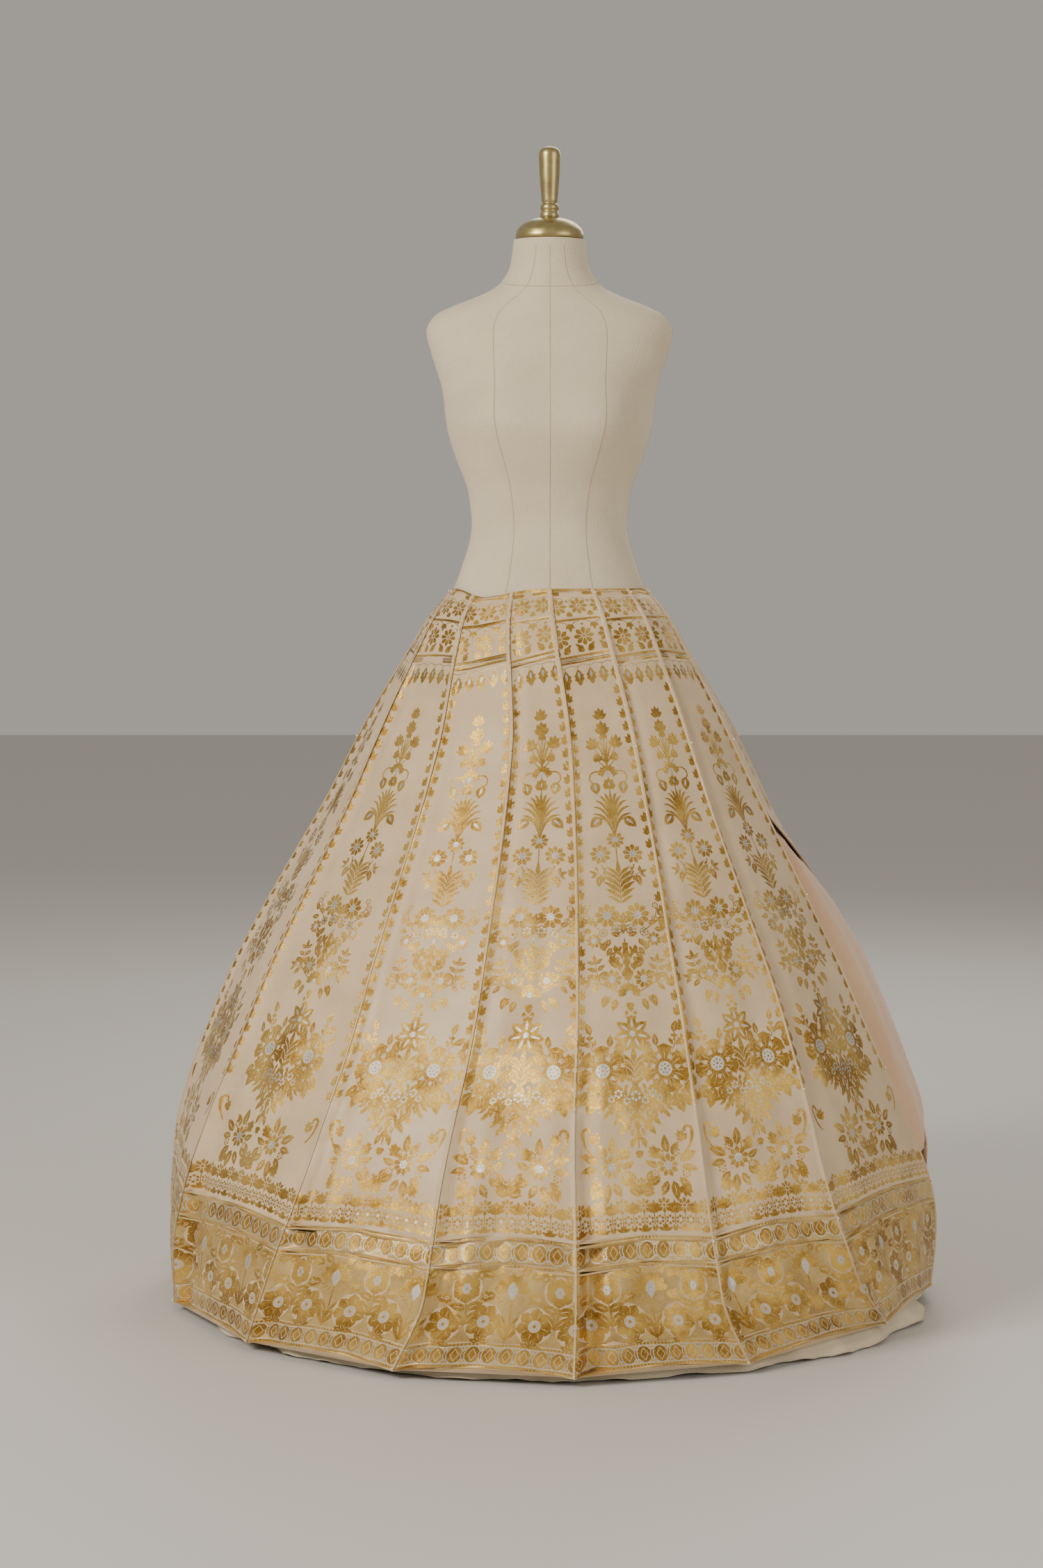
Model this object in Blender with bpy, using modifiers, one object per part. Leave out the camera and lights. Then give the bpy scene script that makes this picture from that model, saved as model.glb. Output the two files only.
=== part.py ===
"""A lehenga skirt of fourteen brocade kalis over a net underskirt, worn by a limbless dress form.

Metres, +Z up, the front towards -Y. The origin is the centre of the stand's underside.
An azimuth is in degrees from the front, growing towards +X.
"""

import math
from collections import namedtuple

import bmesh
import bpy
from mathutils import Vector

# Heights of the skirt
WAIST_HEIGHT = 1.040
HEM_HEIGHT = 0.012
HEM_ARCH = 0.010
HEM_LIFT = 0.010
HEM_LIFT_AZIMUTH = 62.0
HEM_LIFT_SPREAD = 28.0
WAIST_DROOP = 0.012
WAIST_DROOP_AZIMUTH = 322.0
WAIST_DROOP_SPREAD = 18.0

# Cloth walls and the gaps between pieces
BROCADE_WALL = 0.0015
NET_WALL = 0.0012
SEAM_GAP = 0.0003
WAIST_GAP = 0.0005
FORM_GAP = 0.0008
FOLDED_EDGE = 0.0025
FOLDED_EDGE_SHARE = 0.05

# One row for each level of the bell: the brocade's outer face, and how far inside it the underskirt hangs
BellRow = namedtuple("BellRow", "height half_width depth_share lining_gap")
BELL = (
    BellRow(1.040, 0.1435, 0.78, 0.0000),
    BellRow(1.000, 0.1765, 0.80, 0.0040),
    BellRow(0.950, 0.2070, 0.84, 0.0080),
    BellRow(0.850, 0.2670, 0.92, 0.0130),
    BellRow(0.740, 0.3250, 0.97, 0.0140),
    BellRow(0.620, 0.3950, 1.00, 0.0150),
    BellRow(0.500, 0.4620, 1.00, 0.0150),
    BellRow(0.390, 0.5100, 1.00, 0.0150),
    BellRow(0.300, 0.5440, 1.01, 0.0190),
    BellRow(0.220, 0.5650, 1.02, 0.0250),
    BellRow(0.120, 0.5740, 1.03, 0.0320),
    BellRow(0.000, 0.5640, 1.04, 0.0300),
)

# One row for each seam, from the front round by +X: its azimuth at six heights, in degrees,
# and the depth of the fold just past it at three heights, in metres
SEAM_HEIGHTS = (1.040, 0.810, 0.500, 0.280, 0.115, 0.010)
FOLD_HEIGHTS = (0.860, 0.500, 0.060)
SeamRow = namedtuple("SeamRow", "waist hip mid knee border hem fold_hip fold_mid fold_hem")
SEAMS = (
    SeamRow(1.2, 5.9, 4.4, 3.1, 3.2, 3.0, 0.003, 0.004, 0.022),
    SeamRow(26.7, 25.1, 21.8, 21.4, 23.1, 28.0, 0.005, 0.008, 0.006),
    SeamRow(53.0, 44.8, 41.4, 41.3, 46.4, 57.0, 0.007, 0.005, 0.005),
    SeamRow(79.0, 69.0, 65.5, 69.0, 79.0, 81.0, 0.003, 0.003, 0.008),
    SeamRow(105.0, 99.0, 113.0, 111.0, 108.0, 107.0, 0.005, 0.004, 0.016),
    SeamRow(132.0, 129.0, 139.0, 137.0, 134.0, 132.7, 0.004, 0.006, 0.006),
    SeamRow(158.3, 157.0, 163.0, 161.5, 159.5, 158.3, 0.006, 0.004, 0.012),
    SeamRow(184.0, 184.0, 187.5, 186.5, 185.0, 184.0, 0.003, 0.007, 0.018),
    SeamRow(209.7, 211.0, 212.5, 212.0, 210.5, 209.7, 0.005, 0.005, 0.007),
    SeamRow(235.3, 238.0, 239.0, 238.0, 236.5, 235.3, 0.006, 0.004, 0.014),
    SeamRow(261.5, 266.5, 268.0, 266.0, 263.0, 261.0, 0.004, 0.007, 0.008),
    SeamRow(288.0, 298.0, 300.0, 297.0, 291.0, 286.6, 0.005, 0.004, 0.020),
    SeamRow(314.0, 326.5, 327.0, 324.0, 318.0, 312.3, 0.003, 0.006, 0.009),
    SeamRow(339.5, 349.2, 348.0, 345.0, 343.0, 338.0, 0.006, 0.005, 0.010),
)

# Where the fold lies across a kali, as shares of its width
FOLD_BOTTOM = 0.08
FOLD_END = 0.24
FLATTENING = 0.75
YOKE_DEPTH = 0.160

# The side opening, where the net puffs out past the brocade
OPEN_SEAM = 3
OPENING_WIDTH_DEG = 30.0
OpenRow = namedtuple("OpenRow", "height share")
OPENING = (
    OpenRow(1.040, 0.00),
    OpenRow(0.730, 0.00),
    OpenRow(0.660, 0.34),
    OpenRow(0.590, 0.68),
    OpenRow(0.520, 0.90),
    OpenRow(0.440, 1.00),
    OpenRow(0.360, 0.90),
    OpenRow(0.290, 0.62),
    OpenRow(0.240, 0.28),
    OpenRow(0.205, 0.00),
    OpenRow(0.000, 0.00),
)
EDGE_PULL = 0.006
PUFF = 0.003
PUFF_MARGIN_DEG = 6.0
PUFF_RAMP_DEG = 5.0

# How finely the cloth is divided
KALI_COLUMNS = (0.0, 0.08, 0.24, 0.60, 0.95, 1.0)
KALI_FALLS = (0.0, 0.02, 0.045, 0.08, 0.13, 0.19, 0.26, 0.33, 0.40, 0.47, 0.54, 0.61, 0.68, 0.76, 0.84, 0.92, 1.0)
NET_TOP_DROP = 0.004
NET_STEP_DEG = 10.0
NET_FINE_DEG = 3.0
NET_FINE_FROM = -6.0
NET_FINE_TO = 36.0
NET_HEIGHTS = (1.020, 0.985, 0.940, 0.850, 0.690, 0.570, 0.420, 0.350, 0.290, 0.240)

NetTier = namedtuple("NetTier", "name top bottom")
NET_TIERS = (
    NetTier("underskirt_net_yoke", 1.0400, 0.7600),
    NetTier("underskirt_net_upper", 0.7597, 0.6300),
    NetTier("underskirt_net_middle", 0.6297, 0.5000),
    NetTier("underskirt_net_lower", 0.4997, 0.2000),
)

# The cotton flounce under the net, gathered in waves
FLOUNCE_WALL = 0.0018
FLOUNCE_TOP = 0.1997
FLOUNCE_UPPER_ROWS = (0.1997, 0.110, 0.045)
FLOUNCE_KNEE = 0.010
FLOUNCE_HEM = 0.003
FLOUNCE_FLARE = 1.2
FLOUNCE_SWING = 0.018
FLOUNCE_SWING_AZIMUTH = 56.0
FLOUNCE_SWING_SPREAD = 26.0
FLOUNCE_WAVES = 26
FLOUNCE_WAVE_DEPTH = 0.006
FLOUNCE_COLUMNS = 4 * FLOUNCE_WAVES

# The dress form, one row for each level: half its width, and its depth before and behind the axis
FormRow = namedtuple("FormRow", "height half_width front back")
FORM = (
    FormRow(0.830, 0.150, 0.094, 0.100),
    FormRow(0.842, 0.160, 0.104, 0.112),
    FormRow(0.930, 0.167, 0.114, 0.124),
    FormRow(1.000, 0.1555, 0.1120, 0.1180),
    FormRow(1.063, 0.1310, 0.1010, 0.1010),
    FormRow(1.133, 0.1140, 0.0870, 0.0850),
    FormRow(1.180, 0.1190, 0.0960, 0.0850),
    FormRow(1.230, 0.1370, 0.1120, 0.0890),
    FormRow(1.275, 0.1500, 0.1200, 0.0940),
    FormRow(1.330, 0.1570, 0.1120, 0.1010),
    FormRow(1.380, 0.1720, 0.0980, 0.1040),
    FormRow(1.415, 0.1800, 0.0850, 0.0990),
    FormRow(1.437, 0.1680, 0.0760, 0.0910),
    FormRow(1.453, 0.1360, 0.0700, 0.0840),
    FormRow(1.466, 0.1020, 0.0640, 0.0780),
    FormRow(1.482, 0.0740, 0.0590, 0.0710),
    FormRow(1.510, 0.0575, 0.0540, 0.0610),
    FormRow(1.547, 0.0520, 0.0510, 0.0560),
)
FORM_COLUMNS = 32
FORM_STEP = 0.045
BUST_HEIGHT = 1.285
BUST_SPREAD = 0.052
BUST_AZIMUTH = 31.0
BUST_SPREAD_DEG = 19.0
BUST_DEPTH = 0.016

# The turned neck cap and finial: radius at each height above the top of the neck
TurnedRow = namedtuple("TurnedRow", "height radius")
NECK_TOP = 1.547
NECK_CAP = (
    TurnedRow(0.0315, 0.0150),
    TurnedRow(0.0300, 0.0230),
    TurnedRow(0.0265, 0.0330),
    TurnedRow(0.0205, 0.0420),
    TurnedRow(0.0120, 0.0484),
    TurnedRow(0.0050, 0.0500),
    TurnedRow(0.0015, 0.0494),
    TurnedRow(0.0003, 0.0475),
)
FINIAL = (
    TurnedRow(0.1345, 0.0040),
    TurnedRow(0.1328, 0.0100),
    TurnedRow(0.1285, 0.0145),
    TurnedRow(0.1215, 0.0158),
    TurnedRow(0.0950, 0.0148),
    TurnedRow(0.0650, 0.0124),
    TurnedRow(0.0560, 0.0116),
    TurnedRow(0.0530, 0.0104),
    TurnedRow(0.0500, 0.0128),
    TurnedRow(0.0460, 0.0136),
    TurnedRow(0.0420, 0.0122),
    TurnedRow(0.0390, 0.0132),
    TurnedRow(0.0350, 0.0140),
    TurnedRow(0.0318, 0.0134),
)
TURNED_STEPS = 28

# The stand, hidden by the skirt
BASE_RADIUS = 0.200
BASE_THICKNESS = 0.018
BASE_BEVEL = 0.004
POLE_RADIUS = 0.016
POLE_SIDES = 24
BASE_SIDES = 40
METAL_GAP = 0.0003

Finish = namedtuple("Finish", "colour roughness metallic")
BROCADE = Finish((0.72, 0.60, 0.42), 0.50, 0.25)
NET = Finish((0.80, 0.58, 0.42), 0.85, 0.0)
COTTON = Finish((0.85, 0.79, 0.68), 0.90, 0.0)
JERSEY = Finish((0.78, 0.71, 0.58), 0.90, 0.0)
GILT = Finish((0.62, 0.52, 0.30), 0.32, 0.90)
STEEL = Finish((0.30, 0.28, 0.25), 0.45, 0.80)


def eased(share):
    """0 to 1 with a soft start and end."""
    share = min(1.0, max(0.0, share))
    return share * share * (3.0 - 2.0 * share)


def smooth_curve(xs, ys, x):
    """The value at x of a curve through the points that never overshoots them. xs may rise or fall."""
    if xs[0] > xs[-1]:
        xs, ys = xs[::-1], ys[::-1]
    x = min(max(x, xs[0]), xs[-1])
    last = len(xs) - 1
    k = max(i for i in range(last) if x >= xs[i])

    def slope(i):
        return (ys[i + 1] - ys[i]) / (xs[i + 1] - xs[i])

    def tangent(i):
        if i == 0 or i == last:
            return slope(0 if i == 0 else last - 1)
        before, after = slope(i - 1), slope(i)
        return 0.0 if before * after <= 0.0 else 2.0 * before * after / (before + after)

    span = xs[k + 1] - xs[k]
    t = (x - xs[k]) / span
    rise = ys[k + 1] - ys[k]
    start, end = tangent(k) * span, tangent(k + 1) * span
    return ys[k] + start * t + (3 * rise - 2 * start - end) * t**2 + (start + end - 2 * rise) * t**3


def column(table, name, height):
    """A named column of a table of levels, read at a height."""
    return smooth_curve([row.height for row in table], [getattr(row, name) for row in table], height)


def bump(azimuth, centre, spread):
    """1 at the centre azimuth, falling smoothly to 0."""
    away = (azimuth - centre + 180.0) % 360.0 - 180.0
    return math.exp(-((away / spread) ** 2))


def waist_height(azimuth):
    return WAIST_HEIGHT - WAIST_DROOP * bump(azimuth, WAIST_DROOP_AZIMUTH, WAIST_DROOP_SPREAD)


def seam_azimuth(seam, height):
    """The azimuth of a seam. A count past the last seam goes round again, 360 degrees on."""
    turns, index = divmod(seam, len(SEAMS))
    return smooth_curve(SEAM_HEIGHTS, SEAMS[index][:6], height) + 360.0 * turns


def kali_edges(kali, height):
    """The azimuths of a kali's two edges. The side opening sets the next kali's edge back."""
    first, second = seam_azimuth(kali, height), seam_azimuth(kali + 1, height)
    if kali == OPEN_SEAM:
        first += OPENING_WIDTH_DEG * column(OPENING, "share", height)
    return first, second


def fold_depth(kali, height):
    row = SEAMS[kali]
    return smooth_curve(FOLD_HEIGHTS, (row.fold_hip, row.fold_mid, row.fold_hem), height)


def fold_shape(share):
    """How far into the fold a point across a kali lies, from 0 to 1."""
    if share < FOLD_BOTTOM:
        return eased(share / FOLD_BOTTOM)
    return 1.0 - eased((share - FOLD_BOTTOM) / (FOLD_END - FOLD_BOTTOM))


def bell_point(azimuth, height, inset):
    """A point on the bell, moved in towards the axis by inset."""
    angle = math.radians(azimuth)
    half_width = column(BELL, "half_width", height)
    half_depth = half_width * column(BELL, "depth_share", height)
    return Vector(((half_width - inset) * math.sin(angle), -(half_depth - inset) * math.cos(angle), height))


def kali_inset(kali, share, height):
    """How far in from the bell a kali's outer face lies: its fold, its flat middle, and the pull of the opening."""
    first, second = kali_edges(kali, height)
    sagitta = column(BELL, "half_width", height) * (1.0 - math.cos(math.radians(second - first) / 2.0))
    inset = fold_depth(kali, height) * fold_shape(share)
    inset += FLATTENING * sagitta * (1.0 - (2.0 * share - 1.0) ** 2)
    inset *= eased((WAIST_HEIGHT - height) / YOKE_DEPTH)
    pull = EDGE_PULL * column(OPENING, "share", height)
    if kali == OPEN_SEAM - 1:
        inset += pull * eased(2.0 * share - 1.0)
    if kali == OPEN_SEAM:
        inset += pull * eased(1.0 - 2.0 * share)
    return inset


def kali_rows(kali):
    """The outer and inner points of a kali, row by row from waist to hem."""
    outer, inner = [], []
    for fall in KALI_FALLS:
        outer_row, inner_row = [], []
        for share in KALI_COLUMNS:
            first, second = kali_edges(kali, WAIST_HEIGHT)
            top = waist_height(first + (second - first) * share)
            first, second = kali_edges(kali, HEM_HEIGHT)
            hem_azimuth = first + (second - first) * share
            bottom = HEM_HEIGHT + HEM_ARCH * (1.0 - (2.0 * share - 1.0) ** 2)
            bottom += hem_lift(hem_azimuth)
            height = top + (bottom - top) * fall
            first, second = kali_edges(kali, height)
            half_gap = math.degrees(SEAM_GAP / 2.0 / (0.75 * column(BELL, "half_width", height)))
            azimuth = first + half_gap + (second - first - 2.0 * half_gap) * share
            inset = kali_inset(kali, share, height)
            ridge = FOLDED_EDGE if share > 1.0 - FOLDED_EDGE_SHARE / 2.0 else 0.0
            outer_row.append(bell_point(azimuth, height, inset - ridge))
            inner_row.append(bell_point(azimuth, height, inset + BROCADE_WALL))
        outer.append(outer_row)
        inner.append(inner_row)
    return outer, inner


def net_azimuths(height):
    """The underskirt's columns. They follow the side opening, and stand closer together there."""
    fine_span = NET_FINE_TO - NET_FINE_FROM
    fine = round(fine_span / NET_FINE_DEG)
    coarse = round((360.0 - fine_span) / NET_STEP_DEG)
    front = seam_azimuth(OPEN_SEAM, height)
    azimuths = [front + NET_FINE_FROM + fine_span * i / fine for i in range(fine)]
    return azimuths + [front + NET_FINE_TO + (360.0 - fine_span) * i / coarse for i in range(coarse)]


def puff(azimuth, height):
    """How far the net stands out through the side opening, from 0 to 1."""
    front = seam_azimuth(OPEN_SEAM, height)
    width = OPENING_WIDTH_DEG * column(OPENING, "share", height)
    away = (azimuth - front) % 360.0
    return eased((min(away, width - away) - PUFF_MARGIN_DEG) / PUFF_RAMP_DEG)


def net_inset(azimuth, height):
    hang = column(BELL, "lining_gap", height) + BROCADE_WALL + WAIST_GAP
    return hang - (hang + PUFF) * puff(azimuth, height)


def net_rows(tier):
    """A net tier's outer and inner points. The top tier reaches as high as the brocade, less a little."""
    outer, inner = [], []
    between = [height for height in NET_HEIGHTS if tier.bottom < height < tier.top]
    for height in (tier.top, *between, tier.bottom):
        outer_row, inner_row = [], []
        for azimuth in net_azimuths(height):
            level = min(height, waist_height(azimuth) - NET_TOP_DROP)
            inset = net_inset(azimuth, level)
            outer_row.append(bell_point(azimuth, level, inset))
            inner_row.append(bell_point(azimuth, level, inset + NET_WALL))
        outer.append(outer_row)
        inner.append(inner_row)
    return outer, inner


def hem_lift(azimuth):
    return HEM_LIFT * bump(azimuth, HEM_LIFT_AZIMUTH, HEM_LIFT_SPREAD)


def flounce_point(azimuth, height, flare, extra):
    """A point of the flounce, whose waves grow towards its hem."""
    growth = eased((FLOUNCE_TOP - height) / FLOUNCE_TOP)
    beat = 0.6 + 0.4 * math.sin(math.radians(azimuth) * 5.0)
    wave = FLOUNCE_WAVE_DEPTH * growth * (1.0 - beat * math.cos(math.radians(azimuth) * FLOUNCE_WAVES))
    hang = column(BELL, "lining_gap", height) + BROCADE_WALL + WAIST_GAP
    swing = FLOUNCE_SWING * growth * bump(azimuth, FLOUNCE_SWING_AZIMUTH, FLOUNCE_SWING_SPREAD)
    return bell_point(azimuth, height, hang + wave - swing - flare + extra)


def flounce_rows():
    """The flounce's outer and inner points. It hangs straight, and flares on the floor below the brocade's hem."""
    outer, inner = [], []
    for row in range(len(FLOUNCE_UPPER_ROWS) + 2):
        outer_row, inner_row = [], []
        for step in range(FLOUNCE_COLUMNS):
            azimuth = 360.0 * step / FLOUNCE_COLUMNS
            knee = FLOUNCE_KNEE + hem_lift(azimuth)
            height = (*FLOUNCE_UPPER_ROWS, knee, FLOUNCE_HEM)[row]
            flare = FLOUNCE_FLARE * max(0.0, knee - height)
            outer_row.append(flounce_point(azimuth, height, flare, 0.0))
            inner_row.append(flounce_point(azimuth, height, flare, FLOUNCE_WALL))
        outer.append(outer_row)
        inner.append(inner_row)
    return outer, inner


def form_azimuths():
    return [360.0 * step / FORM_COLUMNS for step in range(FORM_COLUMNS)]


def form_ring(height):
    """One level of the dress form, with the two sides of the bust."""
    half_width, front, back = (column(FORM, name, height) for name in ("half_width", "front", "back"))
    rise = math.exp(-(((height - BUST_HEIGHT) / BUST_SPREAD) ** 2))
    ring = []
    for azimuth in form_azimuths():
        angle = math.radians(azimuth)
        sides = bump(azimuth, BUST_AZIMUTH, BUST_SPREAD_DEG) + bump(azimuth, -BUST_AZIMUTH, BUST_SPREAD_DEG)
        swell = BUST_DEPTH * sides * rise
        depth = (front if math.cos(angle) > 0.0 else back) + swell
        ring.append(Vector(((half_width + swell / 2.0) * math.sin(angle), -depth * math.cos(angle), height)))
    return ring


def waist_seat():
    """The ring of the form that carries the skirt, just inside the underskirt's top edge."""
    ring = []
    for azimuth in form_azimuths():
        level = waist_height(azimuth) - NET_TOP_DROP
        ring.append(bell_point(azimuth, level, net_inset(azimuth, level) + NET_WALL + FORM_GAP))
    return ring


def form_rings():
    """Rings of the dress form, from its underside to the top of the neck."""
    rings = {WAIST_HEIGHT - NET_TOP_DROP: waist_seat()}
    for lower, upper in zip(FORM, FORM[1:]):
        pieces = max(1, round((upper.height - lower.height) / FORM_STEP))
        for i in range(pieces + 1):
            height = lower.height + (upper.height - lower.height) * i / pieces
            rings[height] = form_ring(height)
    return [rings[height] for height in sorted(rings)]


def finish_material(name, finish):
    material = bpy.data.materials.new(name)
    material.use_nodes = True
    shader = material.node_tree.nodes["Principled BSDF"]
    shader.inputs["Base Color"].default_value = (*finish.colour, 1.0)
    shader.inputs["Roughness"].default_value = finish.roughness
    shader.inputs["Metallic"].default_value = finish.metallic
    material.diffuse_color = (*finish.colour, 1.0)
    return material


def add_object(name, mesh, material, parts, smooth=True):
    mesh.materials.append(material)
    if smooth:
        mesh.shade_smooth()
        mesh.set_sharp_from_angle(angle=math.radians(40.0))
    obj = bpy.data.objects.new(name, mesh)
    parts.objects.link(obj)
    return obj


def mesh_of(bm, name):
    """The bmesh as a mesh with its faces pointing out."""
    bmesh.ops.recalc_face_normals(bm, faces=bm.faces)
    mesh = bpy.data.meshes.new(name)
    bm.to_mesh(mesh)
    bm.free()
    return mesh


def cloth_wall(name, outer, inner, ring=False):
    """A closed wall between two grids of points. A ring's last column meets its first."""
    bm = bmesh.new()
    grids = [[[bm.verts.new(point) for point in row] for row in grid] for grid in (outer, inner)]
    rows, columns = len(outer), len(outer[0])
    steps = columns if ring else columns - 1
    for grid in grids:
        for r in range(rows - 1):
            for c in range(steps):
                d = (c + 1) % columns
                bm.faces.new((grid[r][c], grid[r + 1][c], grid[r + 1][d], grid[r][d]))
    front, back = grids
    for r in (0, rows - 1):
        for c in range(steps):
            d = (c + 1) % columns
            bm.faces.new((front[r][c], front[r][d], back[r][d], back[r][c]))
    for c in () if ring else (0, columns - 1):
        for r in range(rows - 1):
            bm.faces.new((front[r][c], back[r][c], back[r + 1][c], front[r + 1][c]))
    return mesh_of(bm, name)


def lofted_solid(name, rings):
    """A closed solid through rings of points, with a flat face at each end."""
    bm = bmesh.new()
    levels = [[bm.verts.new(point) for point in ring] for ring in rings]
    count = len(rings[0])
    for lower, upper in zip(levels, levels[1:]):
        for c in range(count):
            d = (c + 1) % count
            bm.faces.new((lower[c], lower[d], upper[d], upper[c]))
    bm.faces.new(levels[0])
    bm.faces.new(levels[-1])
    return mesh_of(bm, name)


def turned_object(name, profile, base_height, material, parts):
    """A turned piece: its outline from the axis at the top, down its outer side, back to the axis."""
    points = [(0.0, profile[0].height), *((row.radius, row.height) for row in profile), (0.0, profile[-1].height)]
    mesh = bpy.data.meshes.new(name)
    mesh.from_pydata([(r, 0.0, base_height + h) for r, h in points], [(i, i + 1) for i in range(len(points) - 1)], [])
    obj = add_object(name, mesh, material, parts, smooth=False)
    screw = obj.modifiers.new("turn", "SCREW")
    screw.steps = screw.render_steps = TURNED_STEPS
    screw.use_merge_vertices = True
    screw.merge_threshold = 0.00005
    screw.use_smooth_shade = True
    return obj


def upright_cylinder(name, radius, bottom, top, sides, material, parts):
    bm = bmesh.new()
    bmesh.ops.create_cone(bm, cap_ends=True, segments=sides, radius1=radius, radius2=radius, depth=top - bottom)
    mesh = mesh_of(bm, name)
    obj = add_object(name, mesh, material, parts)
    obj.location = (0.0, 0.0, (top + bottom) / 2.0)
    return obj


def build_skirt(parts):
    brocade = finish_material("brocade_silk", BROCADE)
    for kali in range(len(SEAMS)):
        name = f"kali_{kali + 1:02d}"
        add_object(name, cloth_wall(name, *kali_rows(kali)), brocade, parts)
    net = finish_material("underskirt_net", NET)
    for tier in NET_TIERS:
        add_object(tier.name, cloth_wall(tier.name, *net_rows(tier), ring=True), net, parts)
    cotton = finish_material("flounce_cotton", COTTON)
    add_object("underskirt_flounce", cloth_wall("underskirt_flounce", *flounce_rows(), ring=True), cotton, parts)


def build_form(parts):
    jersey = finish_material("form_jersey", JERSEY)
    add_object("form_torso", lofted_solid("form_torso", form_rings()), jersey, parts)
    gilt = finish_material("gilt_metal", GILT)
    turned_object("form_neck_cap", NECK_CAP, NECK_TOP, gilt, parts)
    turned_object("form_finial", FINIAL, NECK_TOP, gilt, parts)


def build_stand(parts):
    steel = finish_material("stand_steel", STEEL)
    base = upright_cylinder("stand_base", BASE_RADIUS, 0.0, BASE_THICKNESS, BASE_SIDES, steel, parts)
    bevel = base.modifiers.new("soft_edge", "BEVEL")
    bevel.width = BASE_BEVEL
    bevel.segments = 2
    bevel.limit_method = "ANGLE"
    pole_top = FORM[0].height - METAL_GAP
    upright_cylinder("stand_pole", POLE_RADIUS, BASE_THICKNESS + METAL_GAP, pole_top, POLE_SIDES, steel, parts)


def main():
    for obj in list(bpy.data.objects):
        bpy.data.objects.remove(obj)
    parts = bpy.data.collections.new("lehenga_on_form")
    bpy.context.scene.collection.children.link(parts)
    build_skirt(parts)
    build_form(parts)
    build_stand(parts)


main()
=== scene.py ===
"""The looks of a lehenga skirt on its dress form: brocade, net and cotton beneath, a covered form, a gilt top.

Metres, in the same frame as the solids. The front is towards -Y, and azimuths run in degrees from there to +X.
"""

import math
from collections import namedtuple

import bmesh
import bpy
import numpy as np
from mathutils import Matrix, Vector
from mathutils.geometry import delaunay_2d_cdt


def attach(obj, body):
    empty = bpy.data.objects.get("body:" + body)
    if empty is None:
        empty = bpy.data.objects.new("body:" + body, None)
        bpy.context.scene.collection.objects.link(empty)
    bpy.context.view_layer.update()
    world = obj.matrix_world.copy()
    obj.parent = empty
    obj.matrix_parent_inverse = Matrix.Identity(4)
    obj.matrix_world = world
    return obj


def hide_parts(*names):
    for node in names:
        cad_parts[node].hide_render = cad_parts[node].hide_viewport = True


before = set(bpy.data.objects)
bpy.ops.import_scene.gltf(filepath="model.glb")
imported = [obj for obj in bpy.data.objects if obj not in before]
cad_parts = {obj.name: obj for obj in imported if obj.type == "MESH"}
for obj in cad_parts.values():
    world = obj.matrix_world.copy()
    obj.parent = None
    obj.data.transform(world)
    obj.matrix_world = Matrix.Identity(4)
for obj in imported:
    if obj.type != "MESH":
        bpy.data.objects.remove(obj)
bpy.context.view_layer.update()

# The shape of the skirt, as in the solids
WAIST_HEIGHT = 1.040
HEM_HEIGHT = 0.012
HEM_ARCH = 0.010
HEM_LIFT, HEM_LIFT_AZIMUTH, HEM_LIFT_SPREAD = 0.010, 62.0, 28.0
WAIST_DROOP, WAIST_DROOP_AZIMUTH, WAIST_DROOP_SPREAD = 0.012, 322.0, 18.0
BROCADE_WALL = 0.0015
NET_WALL = 0.0012
SEAM_GAP = 0.0003
WAIST_GAP = 0.0005
FORM_GAP = 0.0008
YOKE_DEPTH = 0.160
FLATTENING = 0.75
FOLD_BOTTOM, FOLD_END = 0.08, 0.24

BellRow = namedtuple("BellRow", "height half_width depth_share lining_gap")
BELL = [BellRow(*row) for row in (
    (1.040, 0.1435, 0.78, 0.0000),
    (1.000, 0.1765, 0.80, 0.0040),
    (0.950, 0.2070, 0.84, 0.0080),
    (0.850, 0.2670, 0.92, 0.0130),
    (0.740, 0.3250, 0.97, 0.0140),
    (0.620, 0.3950, 1.00, 0.0150),
    (0.500, 0.4620, 1.00, 0.0150),
    (0.390, 0.5100, 1.00, 0.0150),
    (0.300, 0.5440, 1.01, 0.0190),
    (0.220, 0.5650, 1.02, 0.0250),
    (0.120, 0.5740, 1.03, 0.0320),
    (0.000, 0.5640, 1.04, 0.0300),
)]
SEAM_HEIGHTS = (1.040, 0.810, 0.500, 0.280, 0.115, 0.010)
FOLD_HEIGHTS = (0.860, 0.500, 0.060)
SeamRow = namedtuple("SeamRow", "waist hip mid knee border hem fold_hip fold_mid fold_hem")
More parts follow.
